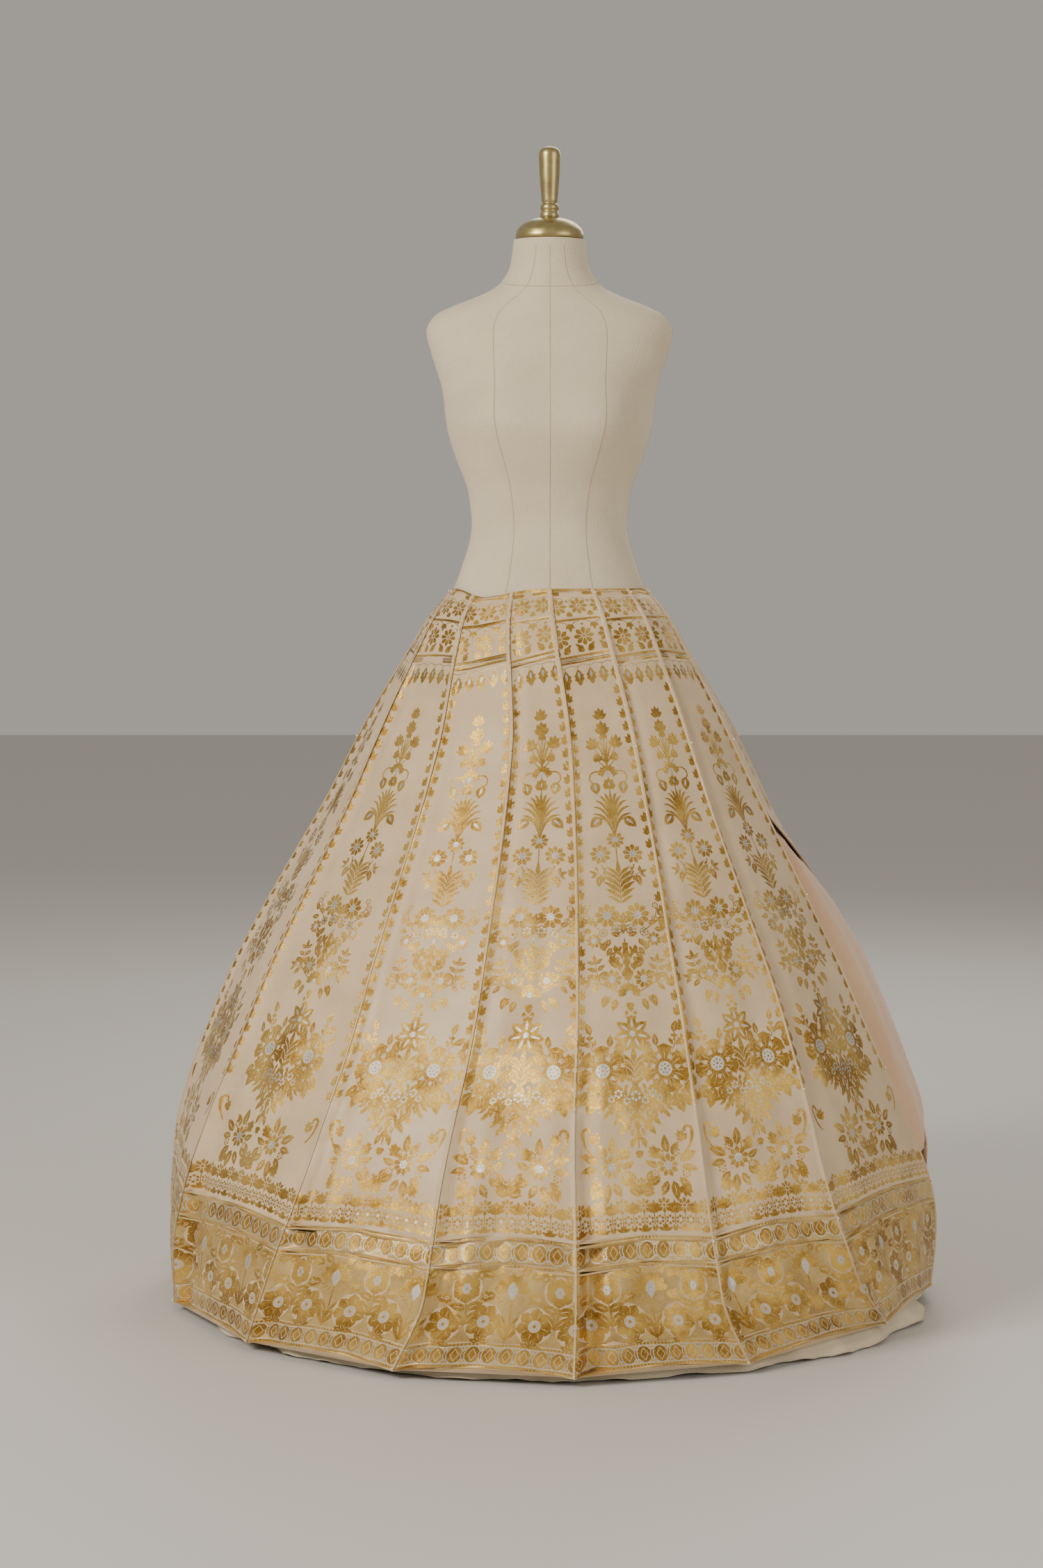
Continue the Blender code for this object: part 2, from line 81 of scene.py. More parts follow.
SEAMS = [SeamRow(*row) for row in (
    (1.2, 5.9, 4.4, 3.1, 3.2, 3.0, 0.003, 0.004, 0.022),
    (26.7, 25.1, 21.8, 21.4, 23.1, 28.0, 0.005, 0.008, 0.006),
    (53.0, 44.8, 41.4, 41.3, 46.4, 57.0, 0.007, 0.005, 0.005),
    (79.0, 69.0, 65.5, 69.0, 79.0, 81.0, 0.003, 0.003, 0.008),
    (105.0, 99.0, 113.0, 111.0, 108.0, 107.0, 0.005, 0.004, 0.016),
    (132.0, 129.0, 139.0, 137.0, 134.0, 132.7, 0.004, 0.006, 0.006),
    (158.3, 157.0, 163.0, 161.5, 159.5, 158.3, 0.006, 0.004, 0.012),
    (184.0, 184.0, 187.5, 186.5, 185.0, 184.0, 0.003, 0.007, 0.018),
    (209.7, 211.0, 212.5, 212.0, 210.5, 209.7, 0.005, 0.005, 0.007),
    (235.3, 238.0, 239.0, 238.0, 236.5, 235.3, 0.006, 0.004, 0.014),
    (261.5, 266.5, 268.0, 266.0, 263.0, 261.0, 0.004, 0.007, 0.008),
    (288.0, 298.0, 300.0, 297.0, 291.0, 286.6, 0.005, 0.004, 0.020),
    (314.0, 326.5, 327.0, 324.0, 318.0, 312.3, 0.003, 0.006, 0.009),
    (339.5, 349.2, 348.0, 345.0, 343.0, 338.0, 0.006, 0.005, 0.010),
)]
OPEN_SEAM = 3
OPENING_WIDTH_DEG = 30.0
OpenRow = namedtuple("OpenRow", "height share")
OPENING = [OpenRow(*row) for row in (
    (1.040, 0.00),
    (0.730, 0.00),
    (0.660, 0.34),
    (0.590, 0.68),
    (0.520, 0.90),
    (0.440, 1.00),
    (0.360, 0.90),
    (0.290, 0.62),
    (0.240, 0.28),
    (0.205, 0.00),
    (0.000, 0.00),
)]
EDGE_PULL = 0.006
PUFF = 0.003
NET_EDGE_SINK = 0.0022
NET_EDGE_SINK_DEG = 3.0
NET_TOP_DROP = 0.004
NET_HEM = 0.200
FLOUNCE_TOP = 0.1997
FLOUNCE_KNEE = 0.010
FLOUNCE_HEM = 0.003
FLOUNCE_FLARE = 1.2
FLOUNCE_SWING, FLOUNCE_SWING_AZIMUTH, FLOUNCE_SWING_SPREAD = 0.018, 56.0, 26.0
FLOUNCE_WAVES = 26
FLOUNCE_WAVE_DEPTH = 0.006

# The dress form, as in the solids
FormRow = namedtuple("FormRow", "height half_width front back")
FORM = [FormRow(*row) for row in (
    (0.830, 0.150, 0.094, 0.100),
    (0.842, 0.160, 0.104, 0.112),
    (0.930, 0.167, 0.114, 0.124),
    (1.000, 0.1555, 0.1120, 0.1180),
    (1.063, 0.1310, 0.1010, 0.1010),
    (1.133, 0.1140, 0.0870, 0.0850),
    (1.180, 0.1190, 0.0960, 0.0850),
    (1.230, 0.1370, 0.1120, 0.0890),
    (1.275, 0.1500, 0.1200, 0.0940),
    (1.330, 0.1570, 0.1120, 0.1010),
    (1.380, 0.1720, 0.0980, 0.1040),
    (1.415, 0.1800, 0.0850, 0.0990),
    (1.437, 0.1680, 0.0760, 0.0910),
    (1.453, 0.1360, 0.0700, 0.0840),
    (1.466, 0.1020, 0.0640, 0.0780),
    (1.482, 0.0740, 0.0590, 0.0710),
    (1.510, 0.0575, 0.0540, 0.0610),
    (1.547, 0.0520, 0.0510, 0.0560),
)]
BUST_HEIGHT, BUST_SPREAD = 1.285, 0.052
BUST_AZIMUTH, BUST_SPREAD_DEG, BUST_DEPTH = 31.0, 19.0, 0.016
SEAT_SPREAD = 0.030
TAPE_HEIGHTS = (0.860, 1.130, 1.285, 1.535)
TAPE_WIDTH = 0.0013
TAPE_CROWN = 0.00045
NECK_SEAM_HEIGHT = 1.487
FORM_SEAMS = (
    (0.0, 0.0, 0.0, 0.0),
    (24.0, 27.0, 30.0, 22.0),
    (-24.0, -27.0, -30.0, -22.0),
    (90.0, 90.0, 90.0, 90.0),
    (-90.0, -90.0, -90.0, -90.0),
    (150.0, 152.0, 148.0, 156.0),
    (-150.0, -152.0, -148.0, -156.0),
    (180.0, 180.0, 180.0, 180.0),
)
NECK_TOP = 1.547
TurnedRow = namedtuple("TurnedRow", "height radius")
NECK_CAP = [TurnedRow(*row) for row in (
    (0.0315, 0.0),
    (0.0315, 0.0150),
    (0.0300, 0.0230),
    (0.0265, 0.0330),
    (0.0205, 0.0420),
    (0.0120, 0.0484),
    (0.0050, 0.0500),
    (0.0015, 0.0494),
    (0.0003, 0.0475),
    (0.0003, 0.0),
)]
FINIAL = [TurnedRow(*row) for row in (
    (0.1345, 0.0),
    (0.1345, 0.0040),
    (0.1328, 0.0100),
    (0.1285, 0.0145),
    (0.1215, 0.0158),
    (0.0950, 0.0148),
    (0.0650, 0.0124),
    (0.0560, 0.0116),
    (0.0530, 0.0104),
    (0.0500, 0.0128),
    (0.0460, 0.0136),
    (0.0420, 0.0122),
    (0.0390, 0.0132),
    (0.0350, 0.0140),
    (0.0318, 0.0134),
    (0.0318, 0.0),
)]

# The looks' own finer sizes
MERGE_DISTANCE = 0.00002
CUT_TOLERANCE = 1e-6
CLOTH_THICKNESS = 0.0009
TORSO_GRID, NET_GRID, FLOUNCE_GRID = (96, 116), (240, 72), (480, 26)
TAPE_FOOT = 0.00005
TAPE_FLAT = 0.3
STRANDS = 900
LENGTH = 1.145
SEAM_RIDGE = 0.0025
RIDGE_WIDTHS = ((0.0, 0.0056), (0.25, 0.0044), (0.42, 0.0022), (1.2, 0.0022))
RIDGE_SLOPE = 0.0012
GRID_STEP = 0.0150
BACK_STEP = 0.0200
BACK_DEPTH = 0.0016
THIN_LEAF = 0.0020
SHORT_LEAF, MIDDLE_LEAF = 0.0130, 0.0200
SMALL_DISC = 0.0032
VINE_LEAVES, VINE_TOP, VINE_STEP = 31, 0.168, 0.0205
PIN_RADIUS = 0.0016
SILK, GOLD, SILVER, GROUND = range(4)
YOKE_SLANTS = (0.19, 0.11, -0.10, 0.08, -0.12, 0.15, -0.10, 0.12, -0.15, 0.10, -0.08, 0.12, 0.18, 0.22)
PINS_DOWN = (0.006, 0.262, 0.520, 0.790, 0.972, 1.141)


def eased(x):
    x = np.clip(x, 0.0, 1.0)
    return x * x * (3.0 - 2.0 * x)


def curve(xs, ys, x):
    """A curve through the points that never overshoots them, read at x, as the solids have it."""
    xs, ys = np.array(xs, float), np.array(ys, float)
    if xs[0] > xs[-1]:
        xs, ys = xs[::-1], ys[::-1]
    x = np.clip(x, xs[0], xs[-1])
    slopes = np.diff(ys) / np.diff(xs)
    before, after = slopes[:-1], slopes[1:]
    flat = before * after <= 0.0
    inner = np.where(flat, 0.0, 2.0 * before * after / np.where(flat, 1.0, before + after))
    tangents = np.concatenate([slopes[:1], inner, slopes[-1:]])
    k = np.clip(np.searchsorted(xs, x, side="right") - 1, 0, len(xs) - 2)
    span = xs[k + 1] - xs[k]
    t = (x - xs[k]) / span
    rise = ys[k + 1] - ys[k]
    start, end = tangents[k] * span, tangents[k + 1] * span
    return ys[k] + start * t + (3 * rise - 2 * start - end) * t**2 + (start + end - 2 * rise) * t**3


def column(table, name, height):
    return curve([row.height for row in table], [getattr(row, name) for row in table], height)


def bump(azimuth, centre, spread):
    away = (azimuth - centre + 180.0) % 360.0 - 180.0
    return np.exp(-((away / spread) ** 2))


def waist_height(azimuth):
    return WAIST_HEIGHT - WAIST_DROOP * bump(azimuth, WAIST_DROOP_AZIMUTH, WAIST_DROOP_SPREAD)


def hem_lift(azimuth):
    return HEM_LIFT * bump(azimuth, HEM_LIFT_AZIMUTH, HEM_LIFT_SPREAD)


def seam_azimuth(seam, height):
    turns, index = divmod(seam, len(SEAMS))
    return curve(SEAM_HEIGHTS, SEAMS[index][:6], height) + 360.0 * turns


def kali_edges(kali, height):
    first, second = seam_azimuth(kali, height), seam_azimuth(kali + 1, height)
    if kali == OPEN_SEAM:
        first = first + OPENING_WIDTH_DEG * column(OPENING, "share", height)
    return first, second


def bell_point(azimuth, height, inset):
    angle = np.radians(azimuth)
    half_width = column(BELL, "half_width", height)
    half_depth = half_width * column(BELL, "depth_share", height)
    x, y = (half_width - inset) * np.sin(angle), -(half_depth - inset) * np.cos(angle)
    return np.stack(np.broadcast_arrays(x, y, height), axis=-1)


def kali_inset(kali, share, height):
    first, second = kali_edges(kali, height)
    row = SEAMS[kali]
    depth = curve(FOLD_HEIGHTS, (row.fold_hip, row.fold_mid, row.fold_hem), height)
    into = eased(share / FOLD_BOTTOM)
    out = 1.0 - eased((share - FOLD_BOTTOM) / (FOLD_END - FOLD_BOTTOM))
    sagitta = column(BELL, "half_width", height) * (1.0 - np.cos(np.radians(second - first) / 2.0))
    inset = depth * np.where(share < FOLD_BOTTOM, into, out)
    inset = inset + FLATTENING * sagitta * (1.0 - (2.0 * share - 1.0) ** 2)
    inset = inset * eased((WAIST_HEIGHT - height) / YOKE_DEPTH)
    pull = EDGE_PULL * column(OPENING, "share", height)
    if kali == OPEN_SEAM - 1:
        inset = inset + pull * eased(2.0 * share - 1.0)
    if kali == OPEN_SEAM:
        inset = inset + pull * eased(1.0 - 2.0 * share)
    return inset


def ridge_width(down):
    """How wide the turned-up seam edge lies, along the cloth from the waist down."""
    downs, widths = zip(*RIDGE_WIDTHS)
    return np.interp(down, downs, widths)


def soft_creases(kali, share, height):
    """Long soft troughs and short puckers by the pins, as outward lifts of a few millimetres."""
    fall = WAIST_HEIGHT - height
    growth = eased((fall - 0.12) / 0.8)
    middle = np.sin(np.pi * np.clip(share, 0.0, 1.0))
    drift = 0.9 * np.sin(3.1 * fall + 1.7 * kali) + 2.3 * kali
    long_folds = 0.0022 * np.sin(2.0 * np.pi * (1.6 * share + 0.35 * fall) + drift)
    long_folds = long_folds + 0.0010 * np.sin(2.0 * np.pi * (3.7 * share - 0.8 * fall) + 1.9 * drift)
    puckers = 0.0
    for pin, side, lean in ((0.800, 0.0, 0.9), (0.800, 1.0, -0.7), (0.480, 0.0, -0.5), (0.480, 1.0, 0.6)):
        reach = np.abs(share - side)
        line = pin + 0.035 * lean * reach * (1.0 + 0.5 * np.sin(kali * 1.3)) - 0.012 * reach
        across = np.exp(-((reach / 0.30) ** 2))
        puckers = puckers - 0.0011 * np.exp(-(((height - line) / 0.0035) ** 2)) * across
    return long_folds * growth * middle + puckers * middle


def kali_point(kali, share, fall, lift=0.0):
    """The outer face of a kali: share across it, fall from waist to hem, lifted outwards."""
    first, second = kali_edges(kali, WAIST_HEIGHT)
    top = waist_height(first + (second - first) * share)
    first, second = kali_edges(kali, HEM_HEIGHT)
    arch = HEM_ARCH * (1.0 - (2.0 * share - 1.0) ** 2)
    bottom = HEM_HEIGHT + arch + hem_lift(first + (second - first) * share)
    height = top + (bottom - top) * fall
    first, second = kali_edges(kali, height)
    half_gap = np.degrees(SEAM_GAP / 2.0 / (0.75 * column(BELL, "half_width", height)))
    azimuth = first + half_gap + (second - first - 2.0 * half_gap) * share
    lift = lift + soft_creases(kali, share, height)
    return bell_point(azimuth, height, kali_inset(kali, share, height) - lift)


# The weaver's drawing kit. A shape is (points, thread), x to the right and y up, in metres.


def leaf_outline(spine, across):
    """The outline about a spine that comes to a point at both ends."""
    return np.concatenate([spine[:1], (spine - across)[1:-1], spine[-1:], (spine + across)[1:-1][::-1]])


def blade(length, width, bend=0.0, fullness=0.42, teeth=0, blunt=1.0, thread=GOLD):
    """A leaf or petal that grows up from its foot. Thin and short ones have fewer points."""
    if teeth:
        steps = 2 * teeth
    elif width < THIN_LEAF:
        steps = 2
    else:
        steps = 3 if length < SHORT_LEAF else 4 if length < MIDDLE_LEAF else 5
    t = np.linspace(0.0, 1.0, steps + 1)
    half = width / 2.0 * np.sin(np.pi * t ** (math.log(0.5) / math.log(fullness))) ** blunt
    if teeth:
        half = half * np.where(np.arange(steps + 1) % 2, 1.12, 0.78)
    spine = np.stack([bend * length * t**2, length * t], axis=1)
    across = np.stack([np.ones_like(t), -2.0 * bend * t], axis=1)
    across = across / np.linalg.norm(across, axis=1)[:, None] * half[:, None]
    return [(leaf_outline(spine, across), thread)]


def disc(radius, points=10, thread=GOLD, tall=1.0):
    points = min(points, 6) if radius < SMALL_DISC else points
    angle = np.linspace(0.0, 2.0 * np.pi, points, endpoint=False)
    return [(np.stack([radius * np.sin(angle), tall * radius * np.cos(angle)], axis=1), thread)]


def rightwards(path):
    """Unit vectors to the right of a path, one at each of its points."""
    along = np.gradient(path, axis=0)
    along = along / np.linalg.norm(along, axis=1)[:, None]
    return np.stack([along[:, 1], -along[:, 0]], axis=1)


def stroke(path, width, end_width=None):
    """A gold stem along a path of points."""
    path = np.array(path, float)
    half = np.linspace(width, width if end_width is None else end_width, len(path))[:, None] / 2.0
    across = rightwards(path) * half
    return [(np.concatenate([path - across, (path + across)[::-1]]), GOLD)]


def arc(radius, start, sweep, points=9):
    angle = np.radians(np.linspace(start, start + sweep, points))
    return np.stack([radius * np.sin(angle), radius * np.cos(angle)], axis=1)


def bow(start, middle, end, points=7):
    """A smooth path from start to end that leans towards middle."""
    t = np.linspace(0.0, 1.0, points)[:, None]
    return (1 - t) ** 2 * np.array(start) + 2 * t * (1 - t) * np.array(middle) + t**2 * np.array(end)


def moved(shapes, x=0.0, y=0.0, turn=0.0, flip=False):
    """The shapes turned clockwise by degrees, then set down at x, y."""
    angle = math.radians(turn)
    matrix = np.array([[math.cos(angle), math.sin(angle)], [-math.sin(angle), math.cos(angle)]])
    done = []
    for points, thread in shapes:
        points = points @ matrix.T
        points = points * [-1.0, 1.0] if flip else points
        done.append((points + [x, y], thread))
    return done


def paired(shapes, x=0.0, y=0.0, turn=0.0):
    """The shapes on the right, and their mirror image on the left."""
    right = moved(shapes, x, y, turn)
    return right + [(points[::-1] * [-1.0, 1.0], thread) for points, thread in right]


def pairs_at(shapes, *places):
    """A pair of the same shapes at each place, given as x, y and turn."""
    return [shape for place in places for shape in paired(shapes, *place)]


def pairs_sized(motif, *places):
    """A pair of a motif at each place, given as x, y and the motif's size."""
    return [shape for x, y, size in places for shape in paired(motif(size), x, y)]


def frond(start, middle, end, width):
    """A gold blade along a bent path, widest past its middle."""
    path = bow(start, middle, end, 8)
    half = width / 2.0 * np.sin(np.pi * np.linspace(0.0, 1.0, 8) ** 1.3)
    return [(leaf_outline(path, rightwards(path) * half[:, None]), GOLD)]


def fountain(tips, width):
    """Blades that leave one stem, each pair lower than the last, and bend out to their tips."""
    shapes = []
    for i, (x, y) in enumerate(tips):
        pair = frond((0.0, -0.0016 * i), (0.25 * x, y), (x, y), width)
        shapes += pair if x == 0.0 else paired(pair)
    return shapes


def leafage(count, length, width, start, spread):
    """A fan of bare-ribbed leaves."""
    return rayed(slit_leaf(length, width, 0.12), count, 0.0, start, spread)


def rayed(shape, count, offset=0.0, start=0.0, spread=360.0):
    """Copies of a shape turned about the middle, at a distance from it."""
    step = spread / count if spread == 360.0 else spread / (count - 1)
    done = []
    for i in range(count):
        done += moved([(points + [0.0, offset], thread) for points, thread in shape], turn=start + step * i)
    return done


def flower(radius, petals, centre, centre_thread=GOLD, petal_thread=GOLD):
    gap = 0.0003
    width = 2.0 * math.pi * (centre + 0.66 * (radius - centre)) / petals * (0.82 if petals < 9 else 0.95)
    petal = blade(radius - centre - gap, width, fullness=0.64, blunt=0.62, thread=petal_thread)
    return rayed(petal, petals, centre + gap) + disc(centre, 8, centre_thread)


def daisy(radius, centre):
    """Many narrow petals round a silver eye with gold dots."""
    shapes = rayed(blade(radius * 0.78, radius * 0.44, fullness=0.66, blunt=0.62), 9, radius * 0.2)
    shapes += rayed(blade(radius * 0.42, radius * 0.05, thread=SILK), 9, radius * 0.44, 20.0)
    eye = centre * 0.86
    shapes += disc(eye, 9, SILVER)
    return shapes + rayed(disc(eye * 0.18, 4), 5, eye * 0.5) if centre > 0.005 else shapes


def ring_flower(radius):
    return flower(radius, 6, radius * 0.36, SILK) + disc(radius * 0.2, 6)


def silver_flower(radius):
    return disc(radius * 1.2, 8) + flower(radius, 6, radius * 0.3, GOLD, SILVER)


def veined_leaf(length, width, bend=0.0):
    """A leaf with a silver heart."""
    heart = moved(blade(length * 0.6, width * 0.27, bend, thread=SILVER), y=length * 0.16)
    return blade(length, width, bend, blunt=0.8) + heart


def slit_leaf(length, width, bend=0.0):
    """A leaf with a bare midrib."""
    rib = moved(blade(length * 0.62, width * 0.11, bend, thread=SILK), y=length * 0.12)
    return blade(length, width, bend, blunt=0.8) + rib


def bud(length, width):
    shapes = blade(length, width * 0.52, blunt=0.8)
    shapes += paired(blade(length * 0.9, width * 0.44, blunt=0.8), turn=21.0)
    return shapes + paired(blade(length * 0.68, width * 0.44, blunt=0.8), turn=50.0)


def sprig(length, pairs, leaf):
    """A stem with pairs of leaves and one at its tip."""
    shapes = stroke([(0, 0), (0, length * 0.8)], 0.0011, 0.0008)
    for i in range(pairs):
        reach = 0.15 + 0.62 * i / max(1, pairs - 1)
        size = 1.0 - 0.35 * reach
        leaves = paired(slit_leaf(leaf * size, leaf * 0.46 * size, 0.15), 0.0005, 0.0, 52.0)
        shapes += moved(leaves, y=length * reach)
    return shapes + moved(blade(leaf * 0.8, leaf * 0.34), y=length * 0.8)


def plume(length, pairs, leaf):
    """Curved leaves in layered pairs with silk between them, the lower ones on top."""
    shapes = moved(blade(leaf, leaf * 0.24), y=length - leaf)
    for i in reversed(range(pairs)):
        rise = i / (pairs - 1)
        size = leaf * (0.62 + 0.38 * math.sin(math.pi * (0.1 + 0.7 * rise)))
        leaves = blade(size * 1.05, size * 0.33, 0.3, thread=SILK) + blade(size, size * 0.25, 0.3)
        shapes += moved(paired(leaves, 0.0006, 0.0, 40.0 - 12.0 * rise), y=(length - leaf) * rise)
    return shapes + stroke([(0, 0), (0, length * 0.5)], 0.0016, 0.0008)


def scattered_leaves(depth, half, count, leaf):
    """Small leaves strewn over a wedge that hangs to a point, all pointing down and outwards."""
    shapes = stroke([(0, 0), (0, -0.7 * depth), (0, -1.05 * depth)], 0.008, 0.0016)
    for i in range(count):
        fall = 1.0 - math.sqrt(1.0 - (i + 0.5) / count)
        across = abs((i * 0.618) % 1.0) * half * (1.02 - fall ** 1.3)
        size = leaf * (1.0 + 0.25 * math.sin(i * 2.4))
        turn = 168.0 - 900.0 * across + 26.0 * math.sin(i * 1.9)
        kind = slit_leaf if i % 3 == 0 else blade
        shapes += paired(kind(size, size * 0.5, 0.15), across, -depth * fall, turn)
    return shapes


def feather(length, barbs):
    """A curved rib with barbs on its lower side."""
    rib = bow((0, 0), (0.1 * length, 0.8 * length), (length, 0.75 * length), 8)
    shapes = stroke(rib, 0.0016, 0.0008)
    for i in range(barbs):
        foot = rib[1 + (i * 6) // barbs]
        size = 1.0 - 0.5 * i / barbs
        shapes += moved(blade(0.5 * length * size, 0.15 * length, -0.4), foot[0], foot[1], 152.0 - 9.0 * i)
    return shapes


def blossom(radius):
    """A large open flower: doubly scalloped petals, bare rays and a silver eye."""
    gap = blade(radius * 0.8, radius * 0.76, fullness=0.7, blunt=0.6, thread=SILK)
    petal = blade(radius * 0.77, radius * 0.68, fullness=0.7, blunt=0.6, teeth=3)
    shapes = []
    for turn in (0.0, 102.0, 204.0, 306.0, 51.0, 153.0, 255.0):
        shapes += moved(moved(gap + petal, y=radius * 0.24), turn=turn)
    shapes += disc(radius * 0.44, 16)
    shapes += rayed(blade(radius * 0.46, radius * 0.03, thread=SILK), 20, radius * 0.34)
    shapes += disc(radius * 0.3, 14, SILK)
    shapes += disc(radius * 0.275, 12, SILVER)
    return shapes + rayed(disc(radius * 0.045, 4), 7, radius * 0.17) + disc(radius * 0.05, 5)


def carnation(radius):
    """A fan of toothed petals over a silver calyx."""
    petal = blade(radius, radius * 0.4, fullness=0.7, blunt=0.75)
    shapes = rayed(petal, 7, radius * 0.12, -78.0, 156.0)
    shapes += moved(blade(radius * 1.05, radius * 0.62, fullness=0.55, thread=SILK), y=-radius * 0.42)
    shapes += moved(blade(radius * 0.95, radius * 0.52, fullness=0.55, thread=SILVER), y=-radius * 0.38)
    return shapes + rayed(blade(radius * 0.45, radius * 0.1, 0.3), 4, radius * 0.55, -150.0, 52.0)


def vine_leaf():
    """A leaf of three lobes."""
    lobes = blade(0.015, 0.0064, 0.12, blunt=0.8) + moved(blade(0.0125, 0.0066, blunt=0.8), turn=36.0)
    return lobes + moved(blade(0.009, 0.0056, -0.2, blunt=0.8), turn=80.0)


def border_unit():
    """One repeat of the wide floral border, drawn about its middle line."""
    shapes = moved(carnation(0.0235), 0.0, 0.018)
    shapes += stroke([(0, 0.008), (0.001, -0.02), (0, -0.05)], 0.0026, 0.0018)
    for side in (-1.0, 1.0):
        shapes += moved(slit_leaf(0.04, 0.015, 0.55 * side), 0.001 * side, -0.047, 8.0 * side)
        shapes += moved(slit_leaf(0.024, 0.011, -0.3 * side), 0.002 * side, -0.03, 52.0 * side)
    for x, y, turn in ((0.0365, -0.024, 0.0), (0.0915, -0.022, 30.0)):
        outer = disc(0.0262, 12, SILK)
        outer += rayed(blade(0.0235, 0.017, fullness=0.6, blunt=0.7), 7, 0.002, turn)
        inner = rayed(blade(0.0052, 0.0036, fullness=0.6, blunt=0.6, thread=SILVER), 9, 0.0026)
        rays = rayed(blade(0.012, 0.001, thread=SILK), 8, 0.009, 12.0)
        shapes += moved(outer + rays + disc(0.0088, 12, SILK) + inner + disc(0.0026, 8), x, y)
        shapes += moved(leafage(5, 0.015, 0.0062, -80.0, 160.0), x, y - 0.029)
    petals = disc(0.0215, 12, SILK) + rayed(blade(0.0165, 0.0165, fullness=0.64, blunt=0.6), 6, 0.0035)
    eye = disc(0.0056, 10, SILK, 1.3) + disc(0.0044, 10, SILVER, 1.4) + disc(0.0014, 6)
    shapes += moved(petals + eye, 0.064, 0.024)
    shapes += moved(stroke(bow((0, 0), (0.004, 0.02), (0, 0.03)), 0.0022), 0.064, -0.026)
    for side in (-1.0, 1.0):
        for x, y, length, turn in (
            (0.064, -0.026, 0.028, 34), (0.07, 0.042, 0.02, 84), (0.024, 0.038, 0.023, 62),
            (0.022, 0.014, 0.022, 96), (0.064, -0.004, 0.024, 62), (0.012, 0.041, 0.016, 40),
        ):
            middle = 0.064 if x > 0.05 else 0.0
            leaf = slit_leaf(length, 0.012, 0.2 * side)
            shapes += moved(leaf, middle + (x - middle) * side, y, turn * side)
        shapes += moved(ring_flower(0.0078), 0.0365 * side, 0.012)
        shapes += moved(ring_flower(0.006), 0.044 * side, 0.04)
    return shapes


def lattice_unit():
    """One repeat of the silver ogee lattice."""
    shapes = disc(0.012, 12, SILVER, 1.12) + disc(0.0106, 12, GOLD, 1.12)
    shapes += disc(0.0064, 4, SILK, 1.5) + disc(0.0052, 4, GOLD, 1.5)
    shapes += moved(disc(0.0042, 4, SILVER, 2.6), 0.012, 0.0) + moved(disc(0.003, 4, GOLD, 2.6), 0.012, 0.0)
    return shapes


def fringe_unit():
    """One repeat of the small florets that stand on the border."""
    shapes = moved(flower(0.0112, 8, 0.0022), 0.0, 0.037)
    shapes += stroke([(0, 0.004), (0, 0.027)], 0.0014)
    shapes += moved(bud(0.0175, 0.015), 0.015, 0.027)
    shapes += stroke([(0.015, 0.012), (0.015, 0.028)], 0.0014)
    shapes += paired(flower(0.0068, 6, 0.002, SILVER), 0.0075, 0.018)
    shapes += moved(bud(0.0115, 0.01), 0.0, 0.003)
    shapes += paired(blade(0.01, 0.0046, 0.4), 0.002, 0.003, 40.0)
    return shapes + moved(paired(blade(0.0095, 0.0044, -0.4), 0.0, 0.0, 36.0), 0.015, 0.003)


def drop_unit():
    """One hanging leaf of the yoke's fringe, below its little arch."""
    shapes = stroke(bow((-0.0092, 0.0), (0.0, -0.0052), (0.0092, 0.0)), 0.001)
    shapes += stroke([(0.0, -0.0025), (0.0, -0.0075)], 0.001)
    leaf = blade(0.028, 0.0148, fullness=0.5, teeth=4)
    leaf += moved(blade(0.0128, 0.0042, thread=SILVER), y=0.004)
    return shapes + moved(leaf, 0.0, -0.0072, 180.0)


def framed_flower():
    """One repeat of the yoke's lower row: a flower over two curled leaves, hung from an arch."""
    shapes = flower(0.0155, 8, 0.0022)
    shapes += paired(stroke(bow((0.001, 0.026), (0.015, 0.025), (0.018, 0.013)), 0.0012))
    shapes += paired(blade(0.017, 0.0084, 0.5, teeth=3), 0.0045, -0.0265, 8.0)
    shapes += paired(blade(0.011, 0.0056, -0.5), 0.007, -0.026, 48.0)
    hanging = blade(0.014, 0.0062) + paired(blade(0.011, 0.0052), turn=38.0)
    shapes += moved(hanging, 0.018, 0.0215, 180.0)
    return shapes + moved(disc(0.0022, 6), 0.0, 0.0195)


def top_flower():
    """One repeat of the yoke's upper row: an open flower under an arch, with a small bud between."""
    shapes = flower(0.0146, 8, 0.002)
    shapes += stroke(arc(0.0152, -66.0, 132.0), 0.0009)
    shapes += moved(bud(0.009, 0.01), 0.0155, -0.017)
    return shapes + moved(blade(0.006, 0.003), 0.0155, 0.012, 180.0)


PALM_TIPS = (
    (0.0, 0.054), (0.0095, 0.053), (0.0175, 0.049), (0.024, 0.042), (0.0285, 0.033), (0.03, 0.022),
)


